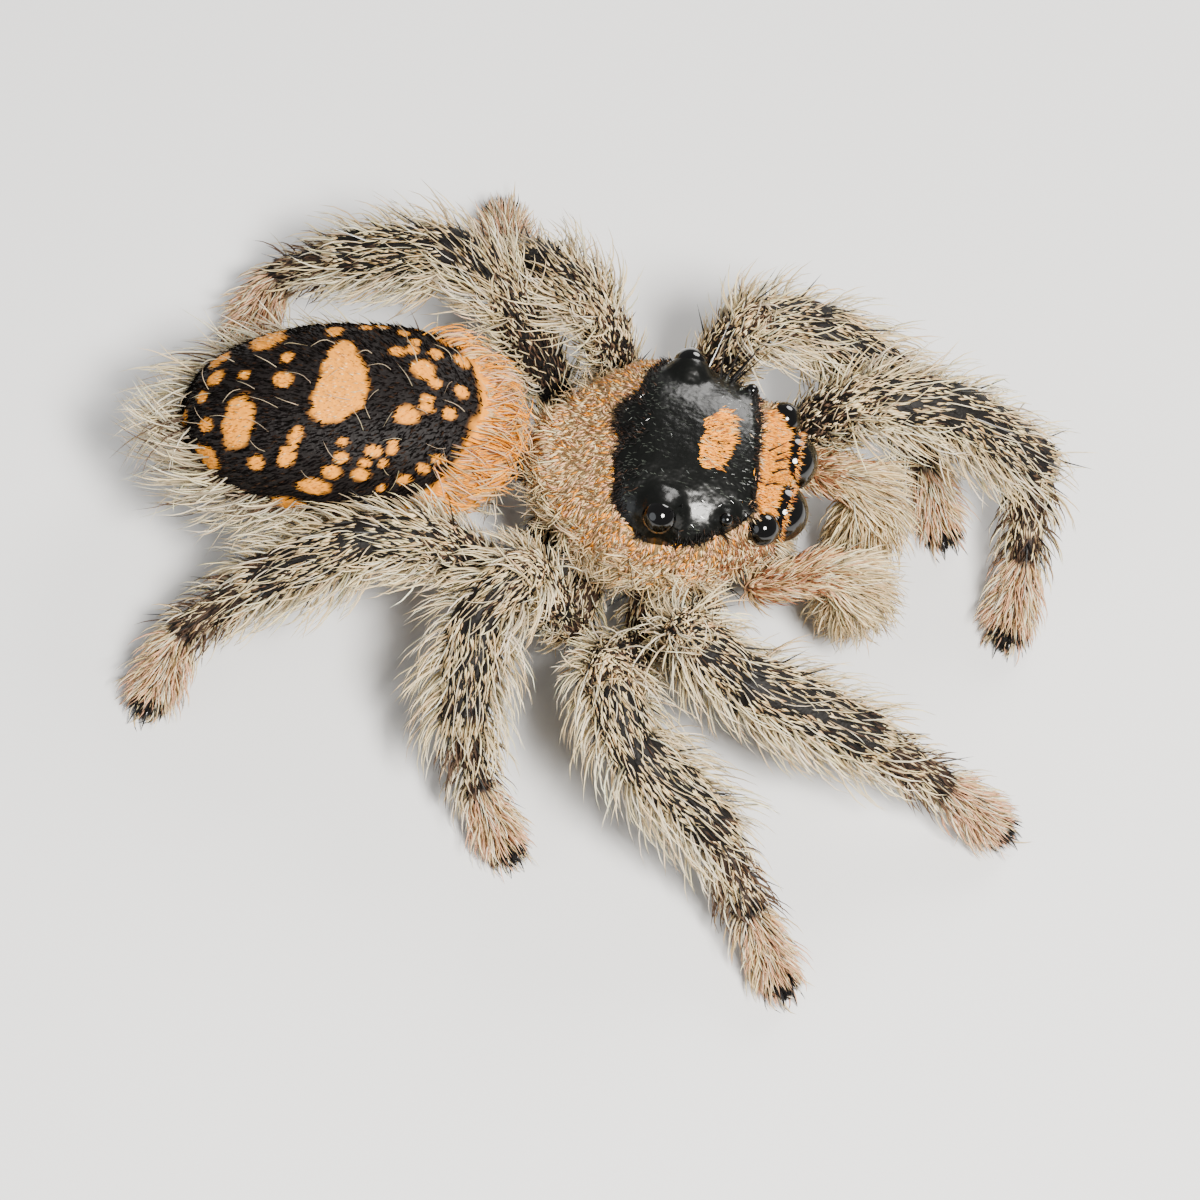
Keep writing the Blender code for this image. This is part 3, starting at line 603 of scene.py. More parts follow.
def mix(count: int, **shares: float) -> Array:
    """Return a random colour for each hair, by the tones' names and shares."""
    share = np.array(list(shares.values()), float)
    index = RNG.choice(len(share), count, p=share / share.sum())
    return np.array([Tone[name].rgb for name in shares])[index]


def won(share: Array) -> Array:
    """Return for each hair whether its chance comes up."""
    return RNG.uniform(0, 1, len(share)) < share


def recolour(tone: Array, rows: Array, **shares: float) -> Array:
    """Give the chosen hairs another random colour."""
    return np.where(rows[:, None], mix(len(tone), **shares), tone)


def shaded(tone: Array, amount: float = 0.14) -> Array:
    """Vary colours a little in brightness and warmth from hair to hair."""
    bright = 1 + RNG.normal(0, amount, (len(tone), 1))
    warm = 1 + RNG.normal(0, 0.035, (len(tone), 3))
    return np.clip(tone * np.clip(bright, 0.5, 1.6) * warm, 0, 1)


def spread(low: float, high: float, count: int) -> Array:
    """Return random values between two limits."""
    return RNG.uniform(low, high, count)


def scatter(count: int, seed: int) -> Array:
    """Return evenly spread pairs of shares between 0 and 1."""
    start = np.random.default_rng(seed).uniform(0, 1, 2)
    step = np.arange(count)[:, None] * np.array([0.7548776662466927, 0.5698402909980532])
    return (start + step) % 1.0


# Hairs: thin closed strands from arrays


@dataclass(frozen=True)
class Site:
    """Places on the skin where hairs stand, their outward directions and their places on the bake map."""

    root: Array
    out: Array
    place: Array

    def only(self, rows: Array) -> "Site":
        """Return some of the places."""
        return Site(self.root[rows], self.out[rows], self.place[rows])

    def raised(self, height: Array | float) -> "Site":
        """Return the places lifted off the skin, as onto the head plate."""
        return Site(self.root + self.out * height, self.out, self.place)

    def comb(self, lie: Array, loose: float, clump: float = 0.0) -> Array:
        """Lay hairs in the skin's own plane.

        Args:
            lie: The way they lie, one for all or one for each.
            loose: Disorder from hair to hair.
            clump: How far neighbours lean together.

        Returns:
            A unit direction for each hair.
        """
        lie = lie + RNG.normal(0, loose, self.root.shape)
        if clump:
            lie = lie + clump * ripples(self.root, 21)
        return without(lie, self.out)


@dataclass(frozen=True)
class Hair:
    """One kind of hair: least and greatest length and lift in degrees, width, and how it bends.

    bend is the share of the lift that is lost along the hair, and above 1 it curls back. sway drifts it
    sideways. flat is its thickness and blade the width at its root, as shares of its width.
    """

    length: tuple
    width: float
    lift: tuple
    bend: float
    rings: int = 2
    sway: float = 0.2
    flat: float = 0.35
    blade: float = 0.75

    def grow(self, site: Site, lie: Array, tone: Array, root_shade: float, size: Array | float = 1.0,
             extra: Array | float = 0.0) -> Batch:
        """Draw the sizes of a batch and build it.

        Args:
            site: Where the hairs stand.
            lie: The way that each lies.
            tone: Tip colours.
            root_shade: Brightness of the roots as a share of the tips'.
            size: A share of the length for each hair.
            extra: Degrees added to each hair's lift.

        Returns:
            The batch.
        """
        n = len(site.root)
        length, lift = spread(*self.length, n) * size, spread(*self.lift, n) + extra
        # The roots are the tips' colour darkened: painted shade where the hairs crowd at the skin.
        return self.build(site, lie, (tone * root_shade, tone), length, self.width * spread(*WIDTH_RANGE, n), lift)

    def build(self, site: Site, lie: Array, tones: tuple, length: Array, width: Array, lift: Array) -> Batch:
        """Build a batch from sizes that are already drawn.

        Args:
            site: Where the hairs stand.
            lie: The way that each lies.
            tones: Root colours, mostly darkened as painted shade, and tip colours.
            length: Lengths.
            width: Widths.
            lift: Angles from the skin at the root, in degrees.

        Returns:
            The batch.
        """
        n, steps = len(site.root), CURVE_STEPS
        bend = self.bend + RNG.normal(0, 0.15, n)
        sway = RNG.normal(0, self.sway, n)
        base, tip = (shaded(tone) for tone in tones)
        side = unit(np.cross(lie, site.out))
        share = (np.arange(steps) + 0.5) / steps
        angle = (np.radians(lift)[:, None] * (1 - bend[:, None] * share))[..., None]
        way = unit(np.cos(angle) * lie[:, None] + np.sin(angle) * site.out[:, None]
                   + (sway[:, None] * share)[..., None] * side[:, None])
        path = np.concatenate([np.zeros((n, 1, 3)), np.cumsum(way * (length / steps)[:, None, None], 1)], 1)
        path += (site.root - site.out * ROOT_DEPTH)[:, None]
        pick = np.round(np.linspace(0, 1, self.rings + 1) * steps).astype(int)[:-1]
        centre, at = path[:, pick], pick / steps
        along = unit(path[:, np.minimum(pick + 1, steps)] - path[:, np.maximum(pick - 1, 0)])
        across = without(side[:, None], along)
        full = (self.blade + (1 - self.blade) * np.sin(np.pi * np.clip(at * 1.1 + 0.06, 0, 1))) * (1 - at**3)
        half = (width[:, None] * full[None])[..., None] / 2
        across, up = across * half, np.cross(across, along) * half * self.flat
        corners = np.stack([centre - across - up, centre + up * 1.6, centre + across - up], 2)
        verts = np.concatenate([corners.reshape(n, -1, 3), path[:, -1:]], 1)
        per = self.rings * 3 + 1
        faces = [(0, 2, 1)]
        for low in range(0, per - 4, 3):
            for k in range(3):
                a, b = low + k, low + (k + 1) % 3
                faces += [(a, b, b + 3), (a, b + 3, a + 3)]
        faces += [(per - 4 + k, per - 4 + (k + 1) % 3, per - 1) for k in range(3)]
        faces = (np.array(faces)[None] + (np.arange(n) * per)[:, None, None]).reshape(-1, 3)
        # Colour runs from the darker root, which is painted shade, to the tip.
        shade = np.concatenate([np.repeat(at, 3), [1.0]])[None, :, None]
        colours = base[:, None] * (1 - shade) + tip[:, None] * shade
        shift = np.concatenate([np.tile([-1.0, 0.0, 1.0], self.rings), [0.0]]) * BAKE_HALF
        places = site.place[:, None] + np.stack([shift, (shade[0, :, 0] - 0.5) * 2 * BAKE_HALF], -1)[None]
        return verts.reshape(-1, 3), faces, colours.reshape(-1, 3), places.reshape(-1, 2)


class Body:
    """The finished skin as a surface that hairs are rooted on."""

    def __init__(self, verts: Array, faces: Array) -> None:
        """Build the search tree from vertices and their triangles or quads."""
        self.tree = BVHTree.FromPolygons(verts.tolist(), faces.tolist())

    def seat(self, spots: Array, most: float = 0.1) -> tuple[Array, Array, Array]:
        """Move points onto the skin.

        Args:
            spots: Wanted places.
            most: How far the skin may be.

        Returns:
            Places, outward directions, and whether each one is near enough.
        """
        place, out, near = np.array(spots, float), np.zeros((len(spots), 3)), np.zeros(len(spots), bool)
        for k, spot in enumerate(spots.tolist()):
            found, normal, _, distance = self.tree.find_nearest(spot, most)
            if found is not None:
                place[k], out[k], near[k] = found, normal, distance <= most
        return place, out, near

    def drop(self, spots: Array) -> tuple[Array, Array]:
        """Drop points of a plane onto the skin from above.

        Args:
            spots: Their x and y.

        Returns:
            Places and outward directions of those that meet the skin.
        """
        hits = [self.tree.ray_cast(Vector((x, y, 5.0)), Vector((0, 0, -1)))[:2] for x, y in spots]
        found = np.array([(hit[:], normal[:]) for hit, normal in hits if hit is not None])
        return found[:, 0], found[:, 1]


@dataclass
class Coat:
    """One coat piece under construction."""

    name: str
    slot: Slot
    batches: list = field(default_factory=list)

    def add(self, batch: Batch) -> None:
        """Add a batch of hairs."""
        self.batches.append(batch)


# Meshes


def new_object(name: str, data: ID) -> Object:
    """Put new data into the scene as an object."""
    obj = bpy.data.objects.new(name, data)
    bpy.context.scene.collection.objects.link(obj)
    return obj


class Writer:
    """Turns millimetre arrays into placed objects in metres."""

    def __init__(self) -> None:
        """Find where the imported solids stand, from one eye."""
        low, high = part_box("eye_front_middle_right")
        self.shift = np.array((low + high) / 2) - EYES[0].centre * MM

    def mesh(self, name: str, verts: Array, faces: Array, floor: float = 0.004) -> Object:
        """Make one object from triangles or quads.

        Args:
            name: The object's name.
            verts: Vertices in millimetres.
            faces: Corner indices, three or four to a face.
            floor: The lowest height that a vertex may have.

        Returns:
            The object, at the origin, with its place in its mesh.
        """
        verts = np.array(verts, float)
        verts[:, 2] = np.maximum(verts[:, 2], floor)
        data = bpy.data.meshes.new(name)
        data.vertices.add(len(verts))
        data.vertices.foreach_set("co", (verts * MM + self.shift).astype(np.float32).ravel())
        data.loops.add(faces.size)
        data.loops.foreach_set("vertex_index", faces.astype(np.int32).ravel())
        data.polygons.add(len(faces))
        data.polygons.foreach_set("loop_start", np.arange(len(faces), dtype=np.int32) * faces.shape[1])
        data.update(calc_edges=True)
        return new_object(name, data)

    def paint(self, obj: Object, values: Array) -> None:
        """Store one colour for each vertex."""
        layer = obj.data.attributes.new("tone", "FLOAT_COLOR", "POINT")
        full = np.concatenate([values, np.ones((len(values), 1))], 1)
        layer.data.foreach_set("color", full.astype(np.float32).ravel())

    def coat(self, coat: Coat, material: Material) -> Object:
        """Write a finished coat piece with its colours and its bake map.

        Args:
            coat: The piece.
            material: Its finish.

        Returns:
            The object.
        """
        starts = np.cumsum([0] + [len(batch[0]) for batch in coat.batches[:-1]])
        faces = np.concatenate([batch[1] + start for batch, start in zip(coat.batches, starts)])
        verts, colours, places = (np.concatenate([batch[k] for batch in coat.batches]) for k in (0, 2, 3))
        obj = self.mesh(coat.name, verts, faces)
        self.paint(obj, colours)
        layer = obj.data.uv_layers.new(name="OFBake")
        layer.uv.foreach_set("vector", np.clip(places[faces.ravel()], 0, 1).astype(np.float32).ravel())
        return self.place(obj, material, coat.slot)

    def place(self, obj: Object, material: Material, slot: Slot) -> Object:
        """Give an object its finish and let it ride with the body.

        Args:
            obj: The object.
            material: Its finish.
            slot: Its slot in the record; not used.

        Returns:
            The object.
        """
        obj.data.materials.clear()
        obj.data.materials.append(material)
        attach(obj, "root")
        return obj


def ring_faces(rings: int, sides: int) -> Array:
    """Return triangles over stacked rings of corners, closed by two tips that are the last corners.

    Args:
        rings: How many rings.
        sides: Corners of a ring.

    Returns:
        The triangles.
    """
    faces, first, last = [], rings * sides, (rings - 1) * sides
    for i in range(rings - 1):
        for k in range(sides):
            a, b = i * sides + k, i * sides + (k + 1) % sides
            faces += [(a, b, b + sides), (a, b + sides, a + sides)]
    for k in range(sides):
        j = (k + 1) % sides
        faces += [(first, j, k), (first + 1, last + k, last + j)]
    return np.array(faces)


def frames_along(way: Array) -> tuple[Array, Array]:
    """Return the upper and the sideways direction at each ring of a path.

    Args:
        way: Unit directions along the path.

    Returns:
        Both directions for each ring.
    """
    across, rows = np.cross(UP, way), []
    before = across[np.argmax(np.linalg.norm(across, axis=1))]
    for row in across:
        before = unit(row + 0.2 * before)
        rows.append(before)
    side = without(np.array(rows), way)
    return np.cross(way, side), side


def tube(centre: Array, radius: Array, sides: int = 32) -> tuple[Array, Array]:
    """Loft a closed tube.

    Args:
        centre: Ring centres.
        radius: Ring radii.
        sides: Corners of a ring.

    Returns:
        Vertices and triangles.
    """
    top, side = frames_along(unit(np.gradient(centre, axis=0)))
    angle = (np.arange(sides) * math.tau / sides)[None, :, None]
    ring = np.cos(angle) * top[:, None] - np.sin(angle) * side[:, None]
    verts = (centre[:, None] + ring * radius[:, None, None]).reshape(-1, 3)
    return np.concatenate([verts, centre[:1], centre[-1:]]), ring_faces(len(centre), sides)


def ball(shape: Callable[[Array], Array], across: int = 96, down: int = 64) -> tuple[Array, Array]:
    """Build a closed ball.

    Args:
        shape: Returns a place for each unit direction.
        across: Corners round it.
        down: Steps from pole to pole.

    Returns:
        Vertices and triangles.
    """
    heading, height = np.arange(across) * 360 / across, np.linspace(-90, 90, down + 1)[1:-1]
    way = headed(np.tile(heading, (down - 1, 1)), np.tile(height[:, None], (1, across))).reshape(-1, 3)
    return shape(np.concatenate([way, [-UP, UP]])), ring_faces(down - 1, across)


def joined(parts: list) -> tuple[Array, Array]:
    """Join several vertex and triangle pairs into one."""
    starts = np.cumsum([0] + [len(verts) for verts, _ in parts[:-1]])
    faces = [faces + start for (_, faces), start in zip(parts, starts)]
    return np.concatenate([verts for verts, _ in parts]), np.concatenate(faces)


# The skin


@dataclass
class Skin:
    """One closed skin over every fleshy part, remeshed so that no seam shows."""

    carapace: Carapace = field(default_factory=Carapace)
    abdomen: Abdomen = field(default_factory=Abdomen)
    inset: float = 0.07
    limbs: list = field(default_factory=list)
    verts: Array = None
    faces: Array = None
    body: Body = None

    def build(self) -> None:
        """Loft every part, join them, remesh them as one and smooth the result."""
        self.limbs = [(leg, limb) for leg in LEGS for limb in leg.limbs(self.inset)]
        parts = [ball(self.carapace.point), ball(self.abdomen.point)]
        parts.append(ball(lambda way: way * (1.2, 0.58, 0.22) + (0.05, 0, 0.87), 48, 24))
        parts += [tube(*limb.dense(96)[:2]) for _, limb in self.limbs]
        parts += [tube(*limb.dense(60)[:2]) for limb in self.mouth_limbs()]
        parts += self.mounds()
        parts.append(tube(np.linspace((-1.1, 0, 1.28), (-2.35, 0.06, 1.34), 14), np.full(14, 0.2)))
        self.verts, self.faces = self.remesh(*joined(parts))
        self.smooth(4)
        self.verts[:, 2] = np.maximum(self.verts[:, 2], 0.012)
        self.body = Body(self.verts, self.faces)
        LOG.info("skin: %d vertices, %d faces", len(self.verts), len(self.faces))

    @staticmethod
    def mounds() -> list:
        """Return the swellings of the head that hold the eyes: collars at the rear, low ones in front.

        Returns:
            Vertices and triangles of each.
        """
        parts = []
        for eye in EYES:
            # A ball half a radius behind the lens meets it at its middle if it is 1.118 times as wide.
            wide = (0.2 * eye.radius, 0.25 * eye.radius) if "rear" in eye.name else (0.012, 0.03)
            for back, more in zip((0.5, 1.0), wide):
                middle, radius = eye.centre - eye.ahead * eye.radius * back, eye.radius + more
                parts.append(ball(lambda way: middle + way * radius, 40, 24))
        return parts

    @staticmethod
    def mouth_limbs() -> list[Limb]:
        """Return both palps and both jaws.

        Returns:
            Their paths, right ones first.
        """
        found = []
        for word, side in SIDES:
            found.append(side_limb(f"palp_{word}", PALP, side, 0.08))
            found.append(side_limb(f"chelicera_{word}", JAW, side))
        return found

    @staticmethod
    def remesh(verts: Array, faces: Array) -> tuple[Array, Array]:
        """Make one closed surface of quads from overlapping ones, at one unit to the millimetre.

        Args:
            verts: Vertices of all the parts.
            faces: Their triangles.

        Returns:
            Vertices and quads.
        """
        data = bpy.data.meshes.new("skin_parts")
        data.from_pydata(verts.tolist(), [], faces.tolist())
        obj = new_object("skin_parts", data)
        modifier = obj.modifiers.new("one_skin", "REMESH")
        modifier.mode = "VOXEL"
        modifier.voxel_size = VOXEL
        made = obj.evaluated_get(bpy.context.evaluated_depsgraph_get()).to_mesh()
        out = np.empty(len(made.vertices) * 3, np.float32)
        made.vertices.foreach_get("co", out)
        corners = np.empty(len(made.polygons) * 4, np.int32)
        made.polygons.foreach_get("vertices", corners)
        obj.to_mesh_clear()
        bpy.data.objects.remove(obj)
        bpy.data.meshes.remove(data)
        return out.reshape(-1, 3).astype(float), corners.reshape(-1, 4)

    def smooth(self, times: int) -> None:
        """Ease away the steps of the remesh, without shrinking the whole.

        Args:
            times: How often.
        """
        verts = self.verts
        ends = np.concatenate([self.faces[:, [k, (k + 1) % 4]] for k in range(4)])
        count = np.bincount(ends.ravel(), minlength=len(verts))[:, None]
        for step in (0.6, -0.55) * times:
            total = np.stack([
                np.bincount(ends[:, 0], verts[ends[:, 1], k], len(verts))
                + np.bincount(ends[:, 1], verts[ends[:, 0], k], len(verts)) for k in range(3)], -1)
            verts = verts + step * (total / count - verts)
        self.verts = verts

    def tones(self) -> Array:
        """Return each vertex's colour, by the markings.

        Returns:
            The colours.
        """
        verts, tubes = self.verts, []
        for leg, limb in self.limbs:
            centre, radius, _, mark = limb.dense(60)
            tubes.append((centre, radius, self.leg_tones(mark, float(leg.pair == 4))))
        for limb in self.mouth_limbs():
            centre, radius, _, mark = limb.dense(30)
            colour = Tone.DUSK.rgb if limb.name.startswith("palp") else Tone.BROWN.rgb
            tubes.append((centre, radius, np.tile(colour, (len(mark), 1))))
        tone, best = self.claimed(tubes)
        on_head = self.off_shell(self.carapace) < np.where(verts[:, 2] > 1.9, 0.18, 0.05)
        on_rear = self.off_shell(self.abdomen, self.abdomen.axes) < 0.05
        ahead, high = verts[:, 0], verts[:, 2]
        head = blend(np.tile(Tone.BROWN.rgb, (len(verts), 1)), Tone.TAN.rgb * 0.3, ease((high - 1.7) / 0.5))
        head = blend(head, Tone.RUST.rgb, head_orange(verts) * 0.9)
        head = blend(head, Tone.ROSE.rgb * 0.45, ease((ahead - 1.0) / 0.3) * ease((2.6 - high) / 0.3))
        head = blend(head, Tone.BLACK.rgb * 0.5, plate_share(verts) * (1 - head_orange(verts)))
        orange, band = abdomen_marks(self.abdomen, verts)
        rear = np.tile(Tone.VELVET.rgb * 0.7, (len(verts), 1))
        rear = blend(rear, Tone.ORANGE.rgb * 0.8, np.maximum(orange, band))
        rear = blend(rear, Tone.DUSK.rgb, ease((1.3 - high) / 0.5))
        for part, colours in ((on_head, head), (on_rear, rear)):
            rows = part & (best > 0.03)
            tone[rows] = colours[rows]
        return tone

    @staticmethod
    def leg_tones(mark: Array, dark: float) -> Array:
        """Return the cuticle's colours along a leg, brown at its root unless it is dark.

        Args:
            mark: Places along the leg.
            dark: 1 for a dark root, else 0.

        Returns:
            A colour for each place.
        """
        tone = np.tile(Tone.BLACK.rgb, (len(mark), 1))
        tone = blend(tone, Tone.BROWN.rgb, ease((1.5 - mark) / 0.5) * 0.6 * (1 - dark))
        tone = blend(tone, Tone.BROWN.rgb, between(mark, 4.0, 0.4, 5.0, 0.2) * 0.5)
        return blend(tone, Tone.DUSK.rgb, between(mark, 5.0, 0.1, 5.85, 0.1) * 0.9)

    def claimed(self, tubes: list) -> tuple[Array, Array]:
        """Colour the vertices that lie on tubes, each by the nearest one, and leave the others brown.

        Args:
            tubes: Ring centres, radii and ring colours of each.

        Returns:
            A colour for each vertex, and its distance from the nearest tube.
        """
        verts = self.verts
        tone, best = np.tile(Tone.BROWN.rgb, (len(verts), 1)), np.full(len(verts), 9.0)
        for centre, radius, colours in tubes:
            low, high = centre.min(0) - radius.max() - 0.1, centre.max(0) + radius.max() + 0.1
            near = np.flatnonzero(((verts > low) & (verts < high)).all(1))
            for start in range(0, len(near), 4000):
                rows = near[start : start + 4000]
                gap = np.linalg.norm(verts[rows, None] - centre[None], axis=2)
                pick = (gap - radius[None]).argmin(1)
                off = np.abs(gap[np.arange(len(rows)), pick] - radius[pick])
                take = (off < 0.12) & (off < best[rows])
                best[rows[take]] = off[take]
                tone[rows[take]] = colours[pick[take]]
        return tone, best

    def off_shell(self, shell: Carapace | Abdomen, axes: tuple = np.eye(3)) -> Array:
        """Return how far each vertex lies from the carapace or the abdomen.

        Args:
            shell: Which one.
            axes: Its own axes.

        Returns:
            A distance for each vertex.
        """
        turn = np.stack(axes, -1)
        rel = (self.verts - shell.centre) @ turn
        way = unit(rel)
        # Directions are of the unit ball, so a few rounds bring the stretched shape back to them.
        for _ in range(12):
            spot = (shell.point(way) - shell.centre) @ turn
            way = unit(way + 0.7 * (unit(rel) - unit(spot)))
        return np.abs(np.linalg.norm(spot, axis=1) - np.linalg.norm(rel, axis=1))


# Growth on legs, palps and jaws


@dataclass(frozen=True)
class Growth:
    """What grows on a limb: how many, where round it and along it, splayed how far, and its colours.

    tones returns root colour, tip colour, chance and length share for each mark and angle; darker roots are
    painted shade.
    """

    count: int
    hair: Hair
    tones: Callable
    around: tuple = ((0.0, 180.0),)
    splay: float = 0.0
    marks: tuple = (0.0, 6.0)


class LimbGrower:
    """Grows hairs over one limb part of the skin."""

    def __init__(self, body: Body, limb: Limb, window: tuple) -> None:
        """Sample the limb's frame.

        Args:
            body: The skin.
            limb: The limb part.
            window: Its rectangle on the bake map: left, bottom, right, top.
        """
        self.body, self.window = body, window
        self.centre, self.radius, self.way, self.mark = limb.dense(120)
        self.top, self.side = frames_along(self.way)
        self.run = np.concatenate([[0], np.cumsum(np.linalg.norm(np.diff(self.centre, axis=0), axis=1))])

    def grow(self, growth: Growth, seed: int) -> Batch:
        """Grow one kind of hair.

        Args:
            growth: What grows.
            seed: Picks the even scatter.

        Returns:
            The batch of hairs that found skin to stand on.
        """
        picks = scatter(growth.count, seed)
        weight = np.cumsum(self.radius * np.gradient(self.run))
        at = np.interp(picks[:, 0] * weight[-1], weight, self.run)
        spans = np.array(growth.around, float)
        cell = np.minimum((picks[:, 1] * len(spans)).astype(int), len(spans) - 1)
        angle = spans[cell, 0] + ((picks[:, 1] * len(spans) - cell) * 2 - 1) * spans[cell, 1]
        centre, way, top, side = (
            np.stack([np.interp(at, self.run, rows[:, k]) for k in range(3)], -1)
            for rows in (self.centre, self.way, self.top, self.side))
        radius, mark = np.interp(at, self.run, self.radius), np.interp(at, self.run, self.mark)
        turn = np.radians(angle)[:, None]
        spoke = np.cos(turn) * top + np.sin(turn) * side
        root, out, near = self.body.seat(centre + spoke * radius[:, None])
        base, tip, chance, full = growth.tones(mark, angle)
        rows = near & (mark >= growth.marks[0]) & (mark <= growth.marks[1]) & won(chance)
        left, bottom, right, high = self.window
        place = np.stack([left + (right - left) * (0.02 + 0.96 * at / self.run[-1]),
                          bottom + (high - bottom) * (0.02 + 0.96 * ((angle / 360) % 1.0))], -1)
        site, n = Site(root, out, place).only(rows), rows.sum()
        lie = way[rows] + growth.splay * spoke[rows] + RNG.normal(0, 0.12, (n, 3))
        lie = without(lie + 0.9 * growth.splay * ripples(site.root, 31), site.out)
        hair = growth.hair
        length, width = spread(*hair.length, n) * full[rows], hair.width * spread(*WIDTH_RANGE, n)
        return hair.build(site, lie, (base[rows], tip[rows]), length, width, spread(*hair.lift, n))


def round_of(angle: Array) -> Array:
    """Return how far round a limb angles are from its top, in degrees."""
    return np.abs(((angle + 180) % 360) - 180)


@dataclass(frozen=True)
class LegCoat:
    """The coat of one leg: flat bristles, dark ones among them, long hairs and the foot's brush."""

    leg: Leg

    def grow(self, skin: Skin, number: int) -> Coat:
        """Grow the whole coat.

        Args:
            skin: The finished skin.
            number: The leg's place in the list, for the seeds.

        Returns:
            The coat piece.
        """
        coat = Coat(f"coat_{self.leg.name}", Slot.TAN)
        for k, limb in enumerate(self.leg.limbs(skin.inset)):
            grower = LimbGrower(skin.body, limb, (0.0, k / 3, 1.0, (k + 1) / 3))
            for j, growth in enumerate(self.growths(limb.name.rsplit("_", 1)[1])):
                coat.add(grower.grow(growth, 1000 + number * 100 + k * 10 + j))
        return coat

    def flat(self, mark: Array, angle: Array) -> tuple:
        """Colour the short flat bristles and leave out those of the bare stripes.

        Args:
            mark: Places along the leg.
            angle: Angles round it.

        Returns:
            Root colour, tip colour, chance and length share.
        """
        n = len(mark)
        tone = mix(n, TAN=2, SAND=5, CREAM=5)
        tone = blend(tone, mix(n, DUSK=2, BROWN=2, ASH=1), ease((round_of(angle) - 105) / 40) * 0.75)
        femur = bump(mark, 1.2, 0.7) * (0.75 if self.leg.pair == 4 else 0.5)
        tone = recolour(tone, won(femur), BROWN=2, DUSK=2)
        dark = between(mark, 3.72, 0.12, 5.0, 0.08)
        dark = dark * (1 - bump(mark, 4.06, 0.1)) * (1 - bump(mark, 4.62, 0.12))
        tone = recolour(tone, won(dark * 0.85), BROWN=3, BLACK=2, DUSK=1)
        foot = ease((mark - 5.0) / 0.1)
        tone = recolour(tone, won(foot), PEACH=5, SAND=3, TAN=2)
        last = (mark > 5.86)[:, None]
        around = ((angle + 180) % 360) - 180
        # Two bare stripes run along the top of patella and tibia, and a bare ring lies at the knee.
        stripe = np.max([ease((7.5 - np.abs(around - centre)) / 2.5) for centre in (-24, 16)], 0)
        stripe *= between(mark, 2.15, 0.1, 3.8, 0.1) * (1 - bump(mark, 3.0, 0.05))
        chance = (1 - 0.93 * stripe) * (1 - bump(mark, 3.0, 0.035) * 0.85) * (1 - 0.25 * femur)
        black = Tone.BLACK.rgb
        # Roots at seven tenths of the tips' brightness: painted shade where the hairs crowd.
        return np.where(last, black, tone * 0.7), np.where(last, black, tone), chance, 1 - 0.2 * foot

    @staticmethod
    def dark(mark: Array, angle: Array) -> tuple:
        """Colour the black bristles that show among the pale ones."""
        tone = mix(len(mark), BLACK=4, BROWN=1)
        return tone, tone, 1 - 0.85 * between(mark, 5, 0.1, 5.8, 0.1), 1 - 0.3 * ease((mark - 5) / 0.2)

    @staticmethod
    def long(mark: Array, angle: Array) -> tuple:
        """Colour the long hairs that stand out.

        Args:
            mark: Places along the leg.
            angle: Angles round it.

        Returns:
            Root colour, tip colour, chance and length share.
        """
        tone = mix(len(mark), PALE=4, CREAM=5, ASH=1, SAND=3)
        tone = blend(tone, Tone.DUSK.rgb, ease((round_of(angle) - 120) / 40) * 0.6)
        dark = won(between(mark, 4.1, 0.1, 5.0, 0.08) * 0.5)
        tone = np.where(dark[:, None], Tone.DUSK.rgb, tone)
        tone = recolour(tone, won(ease((mark - 5.0) / 0.1) * 0.7), PEACH=3, SAND=2)
        size = 1 - 0.45 * ease((0.8 - mark) / 0.5) - 0.3 * ease((mark - 5.5) / 0.3)
        # Roots at half the tips' brightness: painted shade where the hairs crowd.
        return tone * 0.5, tone, 1 - 0.4 * ease((0.7 - mark) / 0.4), size

    @staticmethod
    def brush(mark: Array, angle: Array) -> tuple:
        """Colour the pale brush round the last length, black at its end.

        Args:
            mark: Places along the leg.
            angle: Angles round it.

        Returns:
            Root colour, tip colour, chance and length share.
        """
        tone, under = mix(len(mark), PEACH=5, SAND=3, PALE=3, TAN=1), round_of(angle) > 125
        black = (mark > 5.84) | (under & (mark > 5.45))
        tone = np.where(black[:, None], Tone.BLACK.rgb, tone)
        # Roots darker than tips: painted shade where the hairs crowd.
        return tone * 0.55, tone, np.ones(len(mark)), 1 - 0.35 * ease((mark - 5.7) / 0.3) - 0.3 * under

    def growths(self, part: str) -> list[Growth]:
        """Return what grows on one part of the leg.

        Args:
            part: upper, middle or foot.

        Returns:
            The kinds of hair.
        """
        share, (low, high) = {
            "upper": (1.0, (0.34, 0.66)), "middle": (1.12, (0.45, 0.92)), "foot": (0.72, (0.34, 0.66))}[part]
        soft = {"rings": 4, "sway": 0.4, "flat": 0.8, "blade": 0.95}
        found = [
            Growth(int(2150 * share), Hair((0.17, 0.27), 0.043, (8, 24), 0.95, sway=0.25), self.flat),
            Growth(int(380 * share), Hair((0.2, 0.36), 0.03, (10, 26), 0.8, sway=0.3), self.dark),
            Growth(int(330 * share), Hair((low, high), 0.02, (42, 78), 0.9, **soft), self.long,
                   ((-96, 30), (96, 30)), 0.3),
            Growth(int(240 * share), Hair((low * 0.7, high * 0.72), 0.018, (24, 58), 1.0, **soft), self.long,
                   ((0, 60), (180, 54), (180, 54))),
        ]
        if part == "foot":
            brush = Hair((0.26, 0.46), 0.02, (30, 62), 0.7, rings=3, sway=0.3, flat=0.7, blade=0.9)
            found.append(Growth(1500, brush, self.brush, marks=(5.02, 5.97)))
        return found


